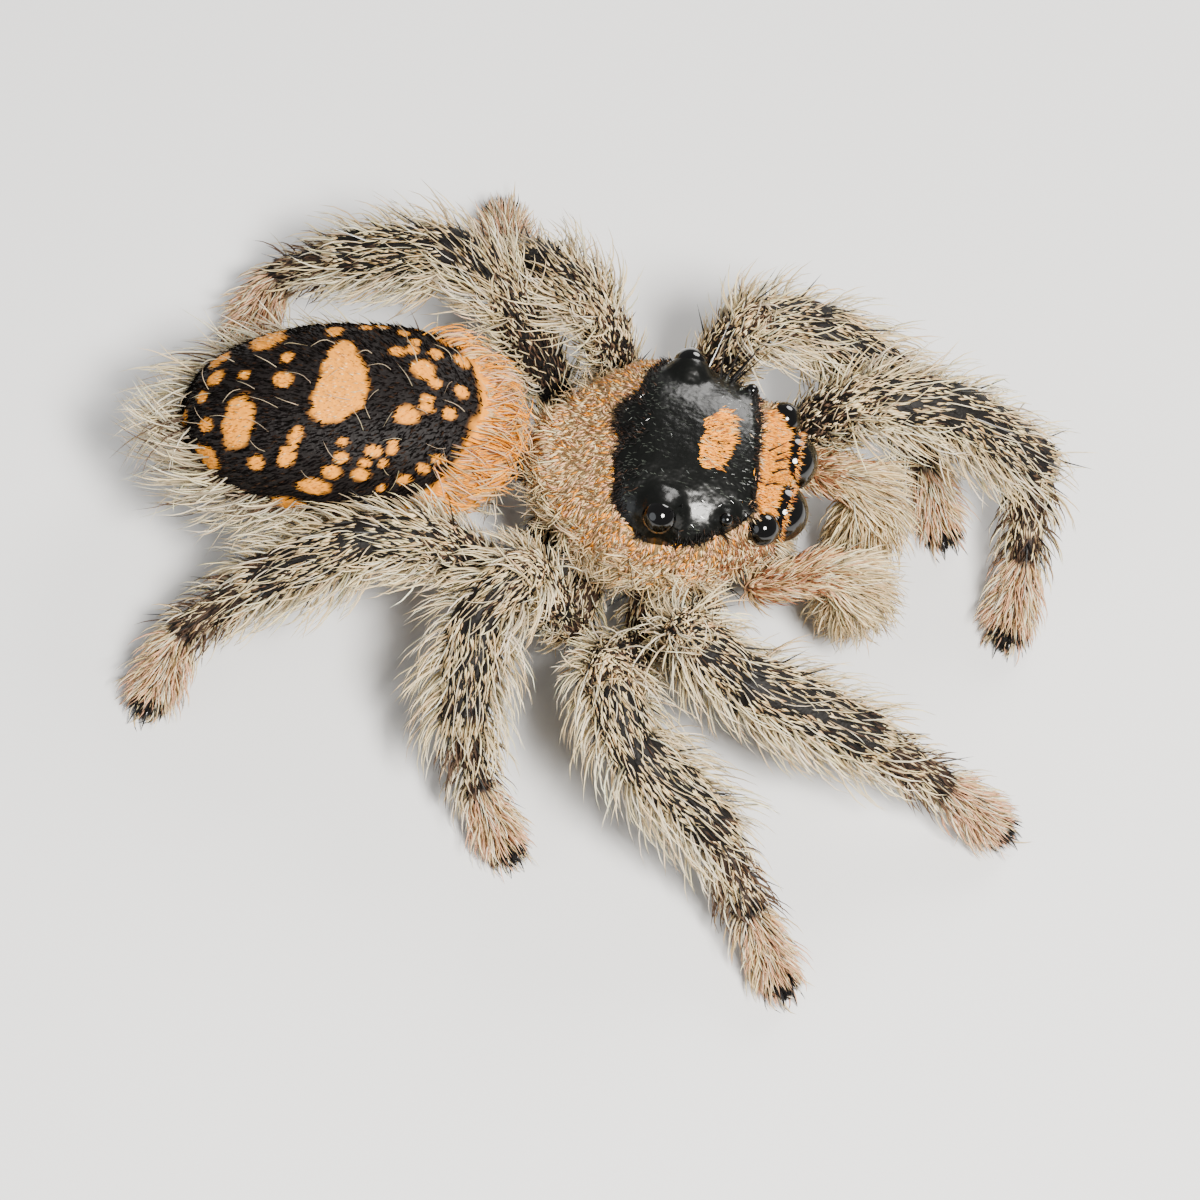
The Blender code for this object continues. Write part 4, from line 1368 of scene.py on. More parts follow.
@dataclass(frozen=True)
class MouthCoat:
    """The hair of both palps and jaws."""

    short: Hair = Hair((0.2, 0.36), 0.036, (14, 34), 0.8, sway=0.15)
    soft: Hair = Hair((0.46, 0.86), 0.021, (34, 70), 1.0, rings=4, sway=0.35, flat=0.8, blade=0.95)
    sparse: Hair = Hair((0.2, 0.44), 0.023, (14, 40), 0.8, rings=3, sway=0.15)

    def grow(self, skin: Skin) -> list[Coat]:
        """Grow one coat piece for each side.

        Args:
            skin: The finished skin.

        Returns:
            The coat pieces.
        """
        palp = (Growth(2600, self.short, self.palp_tones, marks=(0, 1)),
                Growth(2400, self.soft, self.palp_tones, marks=(0, 1)))
        jaw = (Growth(900, self.sparse, self.jaw_tones, marks=(0, 1)),)
        limbs, coats = skin.mouth_limbs(), []
        for side, (word, _) in enumerate(SIDES):
            coats.append(Coat(f"coat_palp_{word}", Slot.CREAM))
            for limb, growths, window, seed in (
                (limbs[2 * side], palp, (0.0, 0.0, 1.0, 0.7), 3007),
                (limbs[2 * side + 1], jaw, (0.0, 0.72, 1.0, 1.0), 3000),
            ):
                grower = LimbGrower(skin.body, limb, window)
                for j, growth in enumerate(growths):
                    coats[-1].add(grower.grow(growth, seed + side * 50 + j))
        return coats

    @staticmethod
    def palp_tones(mark: Array, angle: Array) -> tuple:
        """Colour the palps' cream hair.

        Args:
            mark: Places along the palp.
            angle: Angles round it; not used.

        Returns:
            Root colour, tip colour, chance and length share.
        """
        n = len(mark)
        tone = mix(n, PALE=1, CREAM=4, SAND=5, TAN=1, ASH=1)
        tone = recolour(tone, won(0.75 * ease((0.36 - mark) / 0.2)), ROSE=3, TAN=4, PEACH=2)
        tip = np.where(((mark > 0.82) & won(np.full(n, 0.6)))[:, None], Tone.TAN.rgb, tone)
        size = 1 - 0.25 * ease((mark - 0.8) / 0.2) - 0.4 * ease((0.45 - mark) / 0.25)
        # Roots darker than tips: painted shade where the hairs crowd.
        return tip * 0.6, tip, np.ones(n), size

    @staticmethod
    def jaw_tones(mark: Array, angle: Array) -> tuple:
        """Colour the sparse hairs on the jaws."""
        tone, ones = mix(len(mark), CREAM=4, PALE=3, TAN=2), np.ones(len(mark))
        # Roots darker than tips: painted shade where the hairs crowd.
        return tone * 0.6, tone, ones * 0.9, ones


# Growth on head and abdomen


class ShellGrower:
    """Finds places for hairs over the carapace or the abdomen."""

    def __init__(self, body: Body, shell: Carapace | Abdomen) -> None:
        """Keep the skin and the shape under it."""
        self.body, self.shape, self.centre = body, shell.point, np.array(shell.centre)

    def places(self, count: int, seed: int, low: float = -90, high: float = 90, most: float = 0.06) -> Site:
        """Scatter points over the shape, evenly by area.

        Args:
            count: How many are tried.
            seed: Picks the even scatter.
            low: Lowest height angle.
            high: Highest height angle.
            most: How far the skin may lie from the shape.

        Returns:
            Those that found skin.
        """
        picks = scatter(count, seed)
        heading = picks[:, 0] * 360
        sines = np.sin(np.radians([low, high]))
        height = np.degrees(np.arcsin(sines[0] + (sines[1] - sines[0]) * picks[:, 1]))
        way = headed(heading, height)
        area = self.stretch(way)
        keep = area / np.percentile(area, 97) > RNG.uniform(0, 1, count)
        root, out, near = self.body.seat(self.shape(way[keep]), most)
        return Site(root, out, self.bake(heading[keep], height[keep])).only(near)

    def above(self, count: int, seed: int, box: tuple) -> Site:
        """Scatter points over a rectangle seen from above and drop them onto the skin."""
        picks = scatter(count, seed) * (box[2] - box[0], box[3] - box[1]) + (box[0], box[1])
        root, out = self.body.drop(picks)
        return Site(root, out, self.bake_of(root))

    def round_eyes(self, verts: Array, times: int) -> Site:
        """Scatter points over the skin that swells round the front eyes, below the orange band.

        Args:
            verts: The skin's vertices.
            times: Points for each vertex.

        Returns:
            Those that found skin.
        """
        ring = ~clear_of_eyes(verts, 0.24) & (verts[:, 0] > 0.95) & (verts[:, 2] < 2.72)
        spots = np.repeat(verts[ring & (plate_share(verts) < 0.5)], times, 0)
        root, out, near = self.body.seat(spots + RNG.normal(0, 0.03, spots.shape))
        near &= clear_of_eyes(root, 0.02) & (head_orange(root) < 0.5)
        return Site(root, out, self.bake_of(root)).only(near)

    @staticmethod
    def bake(heading: Array, height: Array) -> Array:
        """Return places on the bake map for heading and height."""
        return np.stack([0.01 + 0.98 * heading / 360, 0.01 + 0.98 * (height + 90) / 180], -1)

    def bake_of(self, root: Array) -> Array:
        """Return places on the bake map for points of the head."""
        way = unit((root - self.centre) / (1.7, 1.5, 1.1))
        heading = np.degrees(np.arctan2(way[:, 1], way[:, 0])) % 360
        return self.bake(heading, np.degrees(np.arcsin(np.clip(way[:, 2], -1, 1))))

    def stretch(self, way: Array) -> Array:
        """Return how much the shape widens a small patch of the unit ball.

        Args:
            way: Unit directions.

        Returns:
            A share for each direction.
        """
        first = unit(np.cross(way, [0.31, 0.17, 0.93]))
        a, b = (self.shape(unit(way + step * 0.02)) - self.shape(unit(way - step * 0.02))
                for step in (first, np.cross(way, first)))
        return np.linalg.norm(np.cross(a, b), axis=1)


@dataclass
class HeadCoat:
    """The coat of carapace and face, where most batches darken the hairs' roots as painted shade."""

    skin: Skin
    scale: Hair = Hair((0.13, 0.22), 0.034, (14, 36), 0.9)
    patch: Hair = Hair((0.09, 0.15), 0.026, (20, 42), 0.8)
    fuzz: Hair = Hair((0.1, 0.2), 0.02, (24, 60), 0.8)
    margin: Hair = Hair((0.32, 0.6), 0.022, (40, 80), 0.95, rings=4, sway=0.5, flat=0.7)
    front: Hair = Hair((0.24, 0.46), 0.022, (18, 50), 0.9, rings=3, sway=0.3, flat=0.6)
    socket: Hair = Hair((0.1, 0.2), 0.024, (16, 40), 0.8)
    lash: Hair = Hair((0.07, 0.13), 0.022, (12, 44), 0.4)
    # The rectangle over the head plate that its hairs are scattered on, and how high they stand
    plate_box: tuple = (-0.75, -1.35, 1.85, 1.35)
    scale_lift: float = 0.034
    fuzz_lift: float = 0.024
    eye_gap: float = 0.02

    @property
    def shell(self) -> ShellGrower:
        """What finds places on the head."""
        return ShellGrower(self.skin.body, self.skin.carapace)

    def grow(self) -> list[Coat]:
        """Grow the coat of the carapace, then that of the face.

        Returns:
            The coat pieces.
        """
        top, face = Coat("coat_carapace", Slot.TAN), Coat("coat_face", Slot.CREAM)
        for coat, kinds in ((top, (self.scales, self.orange_patch, self.black_fuzz, self.lower_edge)),
                            (face, (self.face, self.eye_sockets, self.lashes))):
            for kind in kinds:
                coat.add(kind())
        return [top, face]

    def scales(self) -> Batch:
        """Cover the carapace outside the plate with short scale hairs.

        Returns:
            The batch.
        """
        site = self.shell.places(29000, 41, -32, 90, 0.13)
        bare = (plate_share(site.root) >= 0.5) & (head_orange(site.root) <= 0.5)
        site = site.only(~bare & clear_of_eyes(site.root, 0.035))
        root, high = site.root, site.root[:, 2]
        orange = head_orange(root) > 0.5
        away = unit(root - (0.15, 0, 0)) * (0.9, 1.0, 0)
        over = np.array([0.9, 0.0, -0.1]) + 0.3 * away
        lie = np.where(orange[:, None], over, away - np.array([0.25, 0, 0.35]))
        low = ease((2.4 - high) / 0.7)
        near_plate = ease(1.15 + inside(root, PLATE_EDGE) / 0.3) * (high > 2.2)
        front = ease((root[:, 0] - 1.0) / 0.3) * between(high, 1.7, 0.2, 2.6, 0.2) * ~orange
        tone = mix(len(root), TAN=4, PEACH=5, SAND=6, ORANGE=2, CREAM=1)
        tone = recolour(tone, won(low * 0.7), SAND=3, ASH=3, TAN=2)
        tone = recolour(tone, won(near_plate * 0.6), ORANGE=2, PEACH=4, TAN=2)
        tone = recolour(tone, orange, ORANGE=5, TAN=1, RUST=1)
        tone = recolour(tone, won(front * 0.7), ROSE=3, CREAM=2, TAN=2)
        site = site.raised(self.scale_lift * (plate_share(root) > 0.5)[:, None])
        size = 1 + 0.8 * low - 0.1 * orange
        return self.scale.grow(site, site.comb(lie, 0.2, 0.3), tone, 0.88, size, 14 * low)

    @cached_property
    def over_plate(self) -> Site:
        """Places on and around the head plate."""
        return self.shell.above(16000, 53, self.plate_box)

    def orange_patch(self) -> Batch:
        """Grow the dense orange hairs of the band and of the spot on the plate.

        Returns:
            The batch.
        """
        root = self.over_plate.root
        site = self.over_plate.only((head_orange(root) > 0.5) & clear_of_eyes(root, self.eye_gap))
        tone = mix(len(site.root), ORANGE=9, TAN=1, RUST=1)
        lie = site.comb(np.array([0.85, 0.0, -0.1]), 0.2)
        return self.patch.grow(site.raised(PLATE_LIFT), lie, tone, 0.7)

    def black_fuzz(self) -> Batch:
        """Grow the black hairs over the plate's edge and rear.

        Returns:
            The batch.
        """
        root = self.over_plate.root
        rear = ease((-0.02 - root[:, 0]) / 0.3) * (0.35 + 0.65 * ripple(root, 0.5, 12))
        chance = ease((0.12 - inside(root, PLATE_EDGE)) / 0.08) + rear
        bare = (plate_share(root) > 0.5) & (head_orange(root) < 0.3) & clear_of_eyes(root, self.eye_gap)
        site = self.over_plate.only(bare & won(chance * 0.6))
        tone = mix(len(site.root), BLACK=5, BROWN=1) * 0.8
        lie = (site.root - (0.3, 0, 0)) * (1, 0.8, 0) - (0.2, 0, 0.2)
        return self.fuzz.grow(site.raised(self.fuzz_lift), site.comb(lie, 0.3), tone, 1.0)

    def lower_edge(self) -> Batch:
        """Grow the longer hair along the carapace's lower edge.

        Returns:
            The batch.
        """
        site = self.shell.places(9000, 43, -34, 44)
        low = ease((2.25 - site.root[:, 2]) / 0.55)
        site = site.only(won(low) & clear_of_eyes(site.root, 0.05))
        lie = unit((site.root - (0.15, 0, 1.6)) * (1, 1, 0)) * 0.8 - np.array([0.1, 0, 0.42])
        tone = mix(len(site.root), SAND=3, ASH=3, CREAM=3, TAN=2)
        size = 0.7 + 0.55 * ease((2.0 - site.root[:, 2]) / 0.5)
        return self.margin.grow(site, site.comb(lie, 0.12, 0.5), tone, 0.6, size)

    def face(self) -> Batch:
        """Grow the hair of the face, rosy at its sides.

        Returns:
            The batch.
        """
        site = self.shell.places(26000, 47, -40, 60, 0.16)
        ahead, _, high = site.root.T
        site = site.only((ahead > 1.25) & (high < 2.5) & clear_of_eyes(site.root, 0.03))
        side, high = site.root[:, 1], site.root[:, 2]
        flank = ease((np.abs(side) - 0.72) / 0.14) * ease((high - 1.75) / 0.3)
        tone = mix(len(side), CREAM=4, PALE=2, TAN=3, ROSE=1)
        rosy = won(np.maximum(flank, ease((high - 2.0) / 0.2)) * 0.8)
        tone = recolour(tone, rosy, ROSE=4, PEACH=2, TAN=3)
        lie = np.outer(side, (0, 0.35, 0)) + (0.25, 0, -0.9)
        size = (0.8 + 1.1 * ease((2.0 - high) / 0.5)) * (1 - 0.45 * flank)
        return self.front.grow(site, site.comb(lie, 0.14, 0.25), tone, 0.6, size)

    def eye_sockets(self) -> Batch:
        """Grow short hairs on the skin that swells round the front eyes.

        Returns:
            The batch.
        """
        site = self.shell.round_eyes(self.skin.verts, 3)
        side = site.root[:, 1]
        tone = mix(len(side), ROSE=2, TAN=4, SAND=2)
        lie = np.outer(side, (0, 0.3, 0)) + (0.5, 0, -0.8)
        return self.socket.grow(site, site.comb(lie, 0.2), tone, 0.7)

    def lashes(self) -> Batch:
        """Grow the rings of scale hairs round the front middle eyes, warm above and cream below.

        Returns:
            The batch.
        """
        rows = []
        for eye in EYES[:2]:
            across, up, ahead = eye.axes
            count = int(1100 * eye.radius)
            angle = (np.arange(count) * GOLDEN_ANGLE)[:, None]
            spoke = np.cos(angle) * across + np.sin(angle) * up
            forward = ahead * (eye.radius * spread(0.0, 0.18, count)[:, None])
            ring = eye.centre + spoke * (eye.radius * 0.985) + forward
            place = 0.3 + 0.02 * spoke[:, :2] + 0.3 * (eye.name.endswith("left"))
            rows.append((ring, spoke, place, np.tile(ahead, (count, 1))))
        ring, spoke, place, ahead = (np.concatenate([row[k] for row in rows]) for k in range(4))
        warm = ease(0.5 + 1.4 * spoke[:, 2])[:, None] > RNG.uniform(0, 1, (len(ring), 1))
        tone = np.where(warm, mix(len(ring), ORANGE=2, RUST=2, TAN=1), mix(len(ring), CREAM=3, TAN=2))
        lie = without(unit(ahead * 0.7 - UP * 0.35 + RNG.normal(0, 0.1, ring.shape)), spoke)
        return self.lash.grow(Site(ring, spoke, place), lie, tone, 0.7)


@dataclass
class AbdomenCoat:
    """The coat of the abdomen, where every batch darkens the hairs' roots as painted shade."""

    skin: Skin
    velvet: Hair = Hair((0.1, 0.17), 0.026, (18, 46), 0.6)
    spot: Hair = Hair((0.1, 0.15), 0.034, (14, 30), 0.7)
    band: Hair = Hair((0.16, 0.28), 0.036, (14, 32), 0.8, rings=3)
    fringe: Hair = Hair((0.5, 1.0), 0.019, (44, 84), 0.7, rings=5, sway=0.5, flat=0.8, blade=0.95)
    curved: Hair = Hair((0.4, 0.7), 0.023, (36, 66), 1.3, rings=5, sway=0.5, flat=0.7, blade=0.95)
    under: Hair = Hair((0.3, 0.5), 0.026, (20, 45), 0.9, rings=4, flat=0.8, blade=0.95)
    curly: Hair = Hair((0.25, 0.5), 0.009, (35, 80), 1.5, rings=6, sway=1.4, flat=0.9, blade=1.0)

    @property
    def shell(self) -> ShellGrower:
        """What finds places on the abdomen."""
        return ShellGrower(self.skin.body, self.skin.abdomen)

    def grow(self) -> list[Coat]:
        """Grow the velvet, the orange marks and the long hairs.

        Returns:
            The coat pieces.
        """
        velvet, marks, fringe = (Coat(f"coat_abdomen_{word}", slot) for word, slot in (
            ("velvet", Slot.VELVET), ("marks", Slot.TAN), ("fringe", Slot.CREAM)))
        for coat, batch in zip((velvet, marks), self.short_hairs()):
            coat.add(batch)
        marks.add(self.front_band())
        for kind in (self.side_fringe, self.curved_hairs, self.underside, self.curly_hairs):
            fringe.add(kind())
        return [velvet, marks, fringe]

    def short_hairs(self) -> tuple[Batch, Batch]:
        """Cover the abdomen with short hairs, black or by the orange spots.

        Returns:
            The black hairs and the orange ones.
        """
        body, site = self.skin.abdomen, self.shell.places(34000, 61)
        back, _, up = body.axes
        n, under = len(site.root), ease((4 - body.angles(site.root)[1]) / 14)
        lie = site.comb(back * 0.8 + body.outward(site.root) * 0.35 - up * 0.2, 0.14)
        orange, band = abdomen_marks(body, site.root + lie * 0.07)
        lit = np.maximum(orange, band) > 0.5
        dark = ~lit & won(np.full(n, 0.72))
        tone = mix(n, BLACK=5, VELVET=3, BROWN=1)
        grey = won(under * 0.75)
        tone = recolour(tone, grey, ASH=3, DUSK=3, SAND=2) * np.where(grey, 1.0, 0.7)[:, None]
        size = (1 + 0.9 * under)[dark]
        black = self.velvet.grow(site.only(dark), lie[dark], tone[dark], 0.7, size)
        spot = lit & (band < 0.5)
        pale = ease((inside(site.root, MAIN_SPOT_EDGE) + 0.03) / 0.2)
        tone = blend(mix(n, ORANGE=7, TAN=1, SAND=1), Tone.SAND.rgb, 0.35 * pale)
        tone = tone * (1 + 0.12 * pale)[:, None]
        return black, self.spot.grow(site.only(spot), lie[spot], tone[spot], 0.75)

    def front_band(self) -> Batch:
        """Grow the orange band that wraps the abdomen's front.

        Returns:
            The batch.
        """
        body, site = self.skin.abdomen, self.shell.places(16000, 67, -30, 75)
        back, _, up = body.axes
        site = site.only(abdomen_marks(body, site.root)[1] > 0.5)
        tone = mix(len(site.root), ORANGE=7, TAN=5, PEACH=2)
        outer = ease((30 - body.angles(site.root)[1]) / 30)
        lie = -back * 0.9 + unit(site.root - body.centre) * 0.2 - up * 0.3
        return self.band.grow(site, site.comb(lie, 0.08, 0.25), tone, 0.8, 1 + 0.7 * outer)

    def side_fringe(self) -> Batch:
        """Grow the long pale fringe round the abdomen, which ends before the near hind leg.

        Returns:
            The batch.
        """
        body, site = self.skin.abdomen, self.shell.places(4400, 71, -50, 42)
        back, _, up = body.axes
        heading, height = body.angles(site.root)
        far = np.abs(heading)
        chance = ease((9 + 12 * ease((50 - far) / 40) - height) / 16) * ease((height + 46) / 30)
        last = np.where(heading > 0, 100, 126)
        rows = won(chance * np.maximum(ease((last - far) / 40), 0.5 * ease((-8 - height) / 10)))
        site, size = site.only(rows), 0.75 + 0.5 * ease((120 - far[rows]) / 90)
        lie = back * 0.4 + body.outward(site.root) * 0.9 - up * 0.1
        tone = mix(len(size), PALE=4, ASH=3, CREAM=4, DUSK=1)
        return self.fringe.grow(site, site.comb(lie, 0.1, 0.6), tone, 0.5, size)

    def curved_hairs(self) -> Batch:
        """Grow the curved hairs of the front band, which hang over the waist.

        Returns:
            The batch.
        """
        body, site = self.skin.abdomen, self.shell.places(1700, 83, 0, 44)
        site = site.only(won(ease((np.abs(body.angles(site.root)[0]) - 108) / 20)))
        tone = mix(len(site.root), TAN=3, ORANGE=4, PEACH=2)
        lie = site.comb(body.outward(site.root) * 0.7 - body.axes[0] * 0.5, 0.12, 0.5)
        return self.curved.grow(site, lie, tone, 0.7)

    def underside(self) -> Batch:
        """Grow the grey hair of the underside.

        Returns:
            The batch.
        """
        site = self.shell.places(900, 79, -60, -5)
        back, _, up = self.skin.abdomen.axes
        tone = mix(len(site.root), ASH=3, DUSK=2)
        return self.under.grow(site, site.comb(back - up * 0.1, 0.2), tone, 0.6)

    def curly_hairs(self) -> Batch:
        """Grow the sparse curly hairs on top.

        Returns:
            The batch.
        """
        site = self.shell.places(75, 73, 15, 90)
        tone = np.tile(Tone.ASH.rgb, (len(site.root), 1))
        return self.curly.grow(site, site.comb(self.skin.abdomen.axes[0], 0.7), tone, 0.8)


# Finishes


@dataclass(frozen=True)
class Finish:
    """One material, built from shader nodes; level scales its colour and shine is its specular level."""

    name: str
    colour: Tone
    rough: float
    level: float = 1.0
    coat: float = 0.0
    shine: float = 0.5
    painted: bool = False
    grain: float = 0.0
    grain_scale: float = 20000.0

    def build(self) -> Material:
        """Build the node tree.

        Returns:
            The material.
        """
        material = bpy.data.materials.new(self.name)
        material.use_nodes = True
        tree = material.node_tree
        shader = tree.nodes["Principled BSDF"]
        for name, value in {
            "Base Color": (*(self.colour.rgb * self.level), 1.0), "Roughness": self.rough, "IOR": 1.5,
            "Specular IOR Level": self.shine, "Coat Weight": self.coat, "Coat Roughness": 0.04,
        }.items():
            shader.inputs[name].default_value = value
        if self.painted:
            self.paint(tree, shader)
        if self.grain:
            raised = tree.nodes.new("ShaderNodeBump")
            raised.inputs["Strength"].default_value = self.grain
            raised.inputs["Distance"].default_value = 0.00003
            tree.links.new(self.noise(tree, self.grain_scale, 2.0), raised.inputs["Height"])
            tree.links.new(raised.outputs["Normal"], shader.inputs["Normal"])
        return material

    @staticmethod
    def noise(tree: NodeTree, scale: float, detail: float) -> NodeSocket:
        """Add a noise pattern on Object coordinates.

        Args:
            tree: The node tree.
            scale: Its scale.
            detail: Its detail.

        Returns:
            The output.
        """
        place = tree.nodes.new("ShaderNodeTexCoord")
        noise = tree.nodes.new("ShaderNodeTexNoise")
        noise.inputs["Scale"].default_value = scale
        noise.inputs["Detail"].default_value = detail
        tree.links.new(place.outputs["Object"], noise.inputs["Vector"])
        return noise.outputs["Fac"]

    def paint(self, tree: NodeTree, shader: Node) -> None:
        """Take the colour from the mesh's own tone, broken up by a fine pattern.

        Args:
            tree: The node tree.
            shader: The shader whose colour it is.
        """
        tone = tree.nodes.new("ShaderNodeAttribute")
        tone.attribute_name = "tone"
        level = tree.nodes.new("ShaderNodeMapRange")
        level.inputs["To Min"].default_value = 0.72
        level.inputs["To Max"].default_value = 1.28
        scaled = tree.nodes.new("ShaderNodeVectorMath")
        scaled.operation = "SCALE"
        tree.links.new(self.noise(tree, 9000.0, 3.0), level.inputs["Value"])
        tree.links.new(tone.outputs["Color"], scaled.inputs[0])
        tree.links.new(level.outputs["Result"], scaled.inputs["Scale"])
        tree.links.new(scaled.outputs["Vector"], shader.inputs["Base Color"])


class Look(Enum):
    """Every finish in the scene."""

    SKIN = Finish("skin", Tone.BROWN, 0.55, painted=True, shine=0.12, grain=0.5)
    COAT = Finish("coat", Tone.TAN, 0.55, painted=True, shine=0.14)
    VELVET = Finish("velvet", Tone.VELVET, 0.8, painted=True, shine=0.0)
    PLATE = Finish("head_plate", Tone.SLATE, 0.3, 0.05, coat=0.12, shine=0.22, grain=0.9, grain_scale=5200.0)
    EYE = Finish("eye", Tone.BLACK, 0.05, 0.1, coat=0.3, shine=0.4)
    BRISTLE = Finish("bristle", Tone.BLACK, 0.3, 0.5)
    # Grey flakes on the near-black plate: the plate's scales, with their lighter colour a painted glint.
    GLINT = Finish("glint", Tone.SLATE, 0.2, 1.0, coat=0.6)
    CLAW = Finish("claw", Tone.BLACK, 0.25, 0.6, coat=0.4)
    HORN = Finish("horn", Tone.RUST, 0.28, 0.3, coat=0.3)
    FLOOR = Finish("floor", Tone.WHITE, 0.8, 1.0)


# Eyes, plate, fangs, spinnerets, claws


@dataclass
class HardParts:
    """The pieces that stay separate from the skin."""

    writer: Writer
    looks: dict
    skin: Skin
    plate_middle: tuple = (0.42, 0.0)
    plate_rings: int = 44
    plate_sides: int = 144
    # Place across and above the middle line, and radius, of each spinneret
    spinneret_places: tuple = (
        (-0.09, 0.06, 0.07), (0.09, 0.06, 0.07), (-0.07, -0.07, 0.06), (0.07, -0.07, 0.06),
    )

    def build(self) -> None:
        """Make every hard piece."""
        self.eyes()
        self.plate()
        for word, side in SIDES:
            fang = side_limb(f"curved_fang_{word}", FANG, side)
            obj = self.add(fang.name, tube(*fang.dense(40)[:2], 20), Look.HORN, Slot.HORN)
            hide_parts(f"fang_{word}")
        self.spinnerets()
        self.claws()

    def add(self, name: str, shape: tuple, look: Look, slot: Slot) -> Object:
        """Write one piece.

        Args:
            name: The object's name.
            shape: Vertices and triangles.
            look: Its finish.
            slot: Its slot in the record.

        Returns:
            The object.
        """
        LOG.info("%s: %d triangles", name, len(shape[1]))
        return self.writer.place(self.writer.mesh(name, *shape), self.looks[look], slot)

    def eyes(self) -> None:
        """Make the eight polished lenses, a shade flatter at the front."""
        for eye in EYES:
            def lens(way: Array) -> Array:
                """Return lens points."""
                front = eye.radius * (1 - 0.04 * ease(way[:, 2:]) ** 2)
                return eye.centre + way @ np.stack(eye.axes) * front

            obj = self.add(f"lens_{eye.name}", ball(lens, 64, 40), Look.EYE, Slot.EYE)
            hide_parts(eye.name)

    def plate(self) -> None:
        """Make the bare glossy plate over the head as a thin closed shell on the skin."""
        rings, sides = self.plate_rings, self.plate_sides
        turn = np.arange(sides) * math.tau / sides
        ways = np.stack([np.cos(turn), np.sin(turn)], -1)
        reach = np.linspace(0.05, 2.4, 240)
        lines = (self.plate_middle + reach[:, None] * way for way in ways)
        edge = np.array([reach[np.argmax(inside(line, PLATE_EDGE) < -0.05)] for line in lines])
        edge = (np.roll(edge, 1) + edge + np.roll(edge, -1)) / 3
        share = np.linspace(0, 1, rings + 1)[1:]
        flat = (self.plate_middle + (share[:, None, None] * edge[None, :, None]) * ways[None]).reshape(-1, 2)
        flat = np.concatenate([[self.plate_middle], flat])
        spot, out = self.skin.body.drop(flat)
        full = np.clip(inside(flat, PLATE_EDGE) / 0.1 + 0.5, 0.0, 1.0)[:, None]
        top = self.relax(spot + out * (PLATE_LIFT * np.sqrt(full) + 0.002))
        verts = np.concatenate([top, spot - out * 0.02])
        self.add("head_plate", (verts, self.plate_faces()), Look.PLATE, Slot.SHELL)

    def plate_faces(self) -> Array:
        """Return the plate's triangles: rings round a middle, the same turned over below, and a rim.

        Returns:
            The triangles.
        """
        sides = self.plate_sides
        upper, rim, count = [], [], 1 + self.plate_rings * sides
        for k in range(sides):
            j = (k + 1) % sides
            upper.append((0, 1 + k, 1 + j))
            for start in range(1, count - sides, sides):
                a, b = start + k, start + j
                upper += [(a, a + sides, b + sides), (a, b + sides, b)]
            a, b = count - sides + k, count - sides + j
            rim += [(a, count + a, count + b), (a, count + b, b)]
        return np.concatenate([upper, np.array(upper)[:, ::-1] + count, rim])

    def relax(self, top: Array) -> Array:
        """Even out the height steps that the remeshed skin leaves on the plate's upper face.

        Args:
            top: The middle, then the rings of corners.

        Returns:
            The evened corners.
        """
        body = top[1:].reshape(self.plate_rings, self.plate_sides, 3)
        for _ in range(6):
            mean = (np.roll(body, 1, 1) + np.roll(body, -1, 1)) / 2
            mean[1:-1] = (mean[1:-1] + (body[2:] + body[:-2]) / 2) / 2
            body = body.copy()
            body[:-1] += 0.6 * (mean - body)[:-1]
        return np.concatenate([top[:1], body.reshape(-1, 3)])

    def spinnerets(self) -> None:
        """Make the small cluster of spinnerets under the abdomen's tip."""
        back, right, up = self.skin.abdomen.axes
        tip = Abdomen(inset=0.0).point(unit(np.array([0.97, 0, -0.24])))
        share, parts = np.linspace(0, 1, 12), []
        for across, high, size in self.spinneret_places:
            start = tip - back * 0.1 + right * across + up * high
            path = np.linspace(start, start + back * 0.42 + right * across * 0.6, 12)
            parts.append(tube(path, size * np.sqrt(np.clip(1.08 - share**3, 0.02, 1)), 14))
        obj = self.add("spinneret_cluster", joined(parts), Look.HORN, Slot.HORN)
        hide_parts("spinnerets")

    def claws(self) -> None:
        """Make a pair of hooked claws at the tip of each leg."""
        share, parts = np.linspace(0, 1, 12)[:, None], []
        for leg in LEGS:
            before, tip = leg.joints[-2:]
            way = unit(tip - before)
            side, ahead = unit(np.cross(UP, way)), unit(way * (1, 1, 0.15))
            for turn in (-1, 1):
                start = tip + side * (0.06 * turn) + ahead * 0.1 + UP * 0.02
                path = start + ahead * (0.22 * share) + side * (0.04 * turn * share) - UP * 0.15 * share**2
                parts.append(tube(path, 0.03 * (1 - 0.93 * share[:, 0]), 8))
        self.add("claws", joined(parts), Look.CLAW, Slot.SHELL)
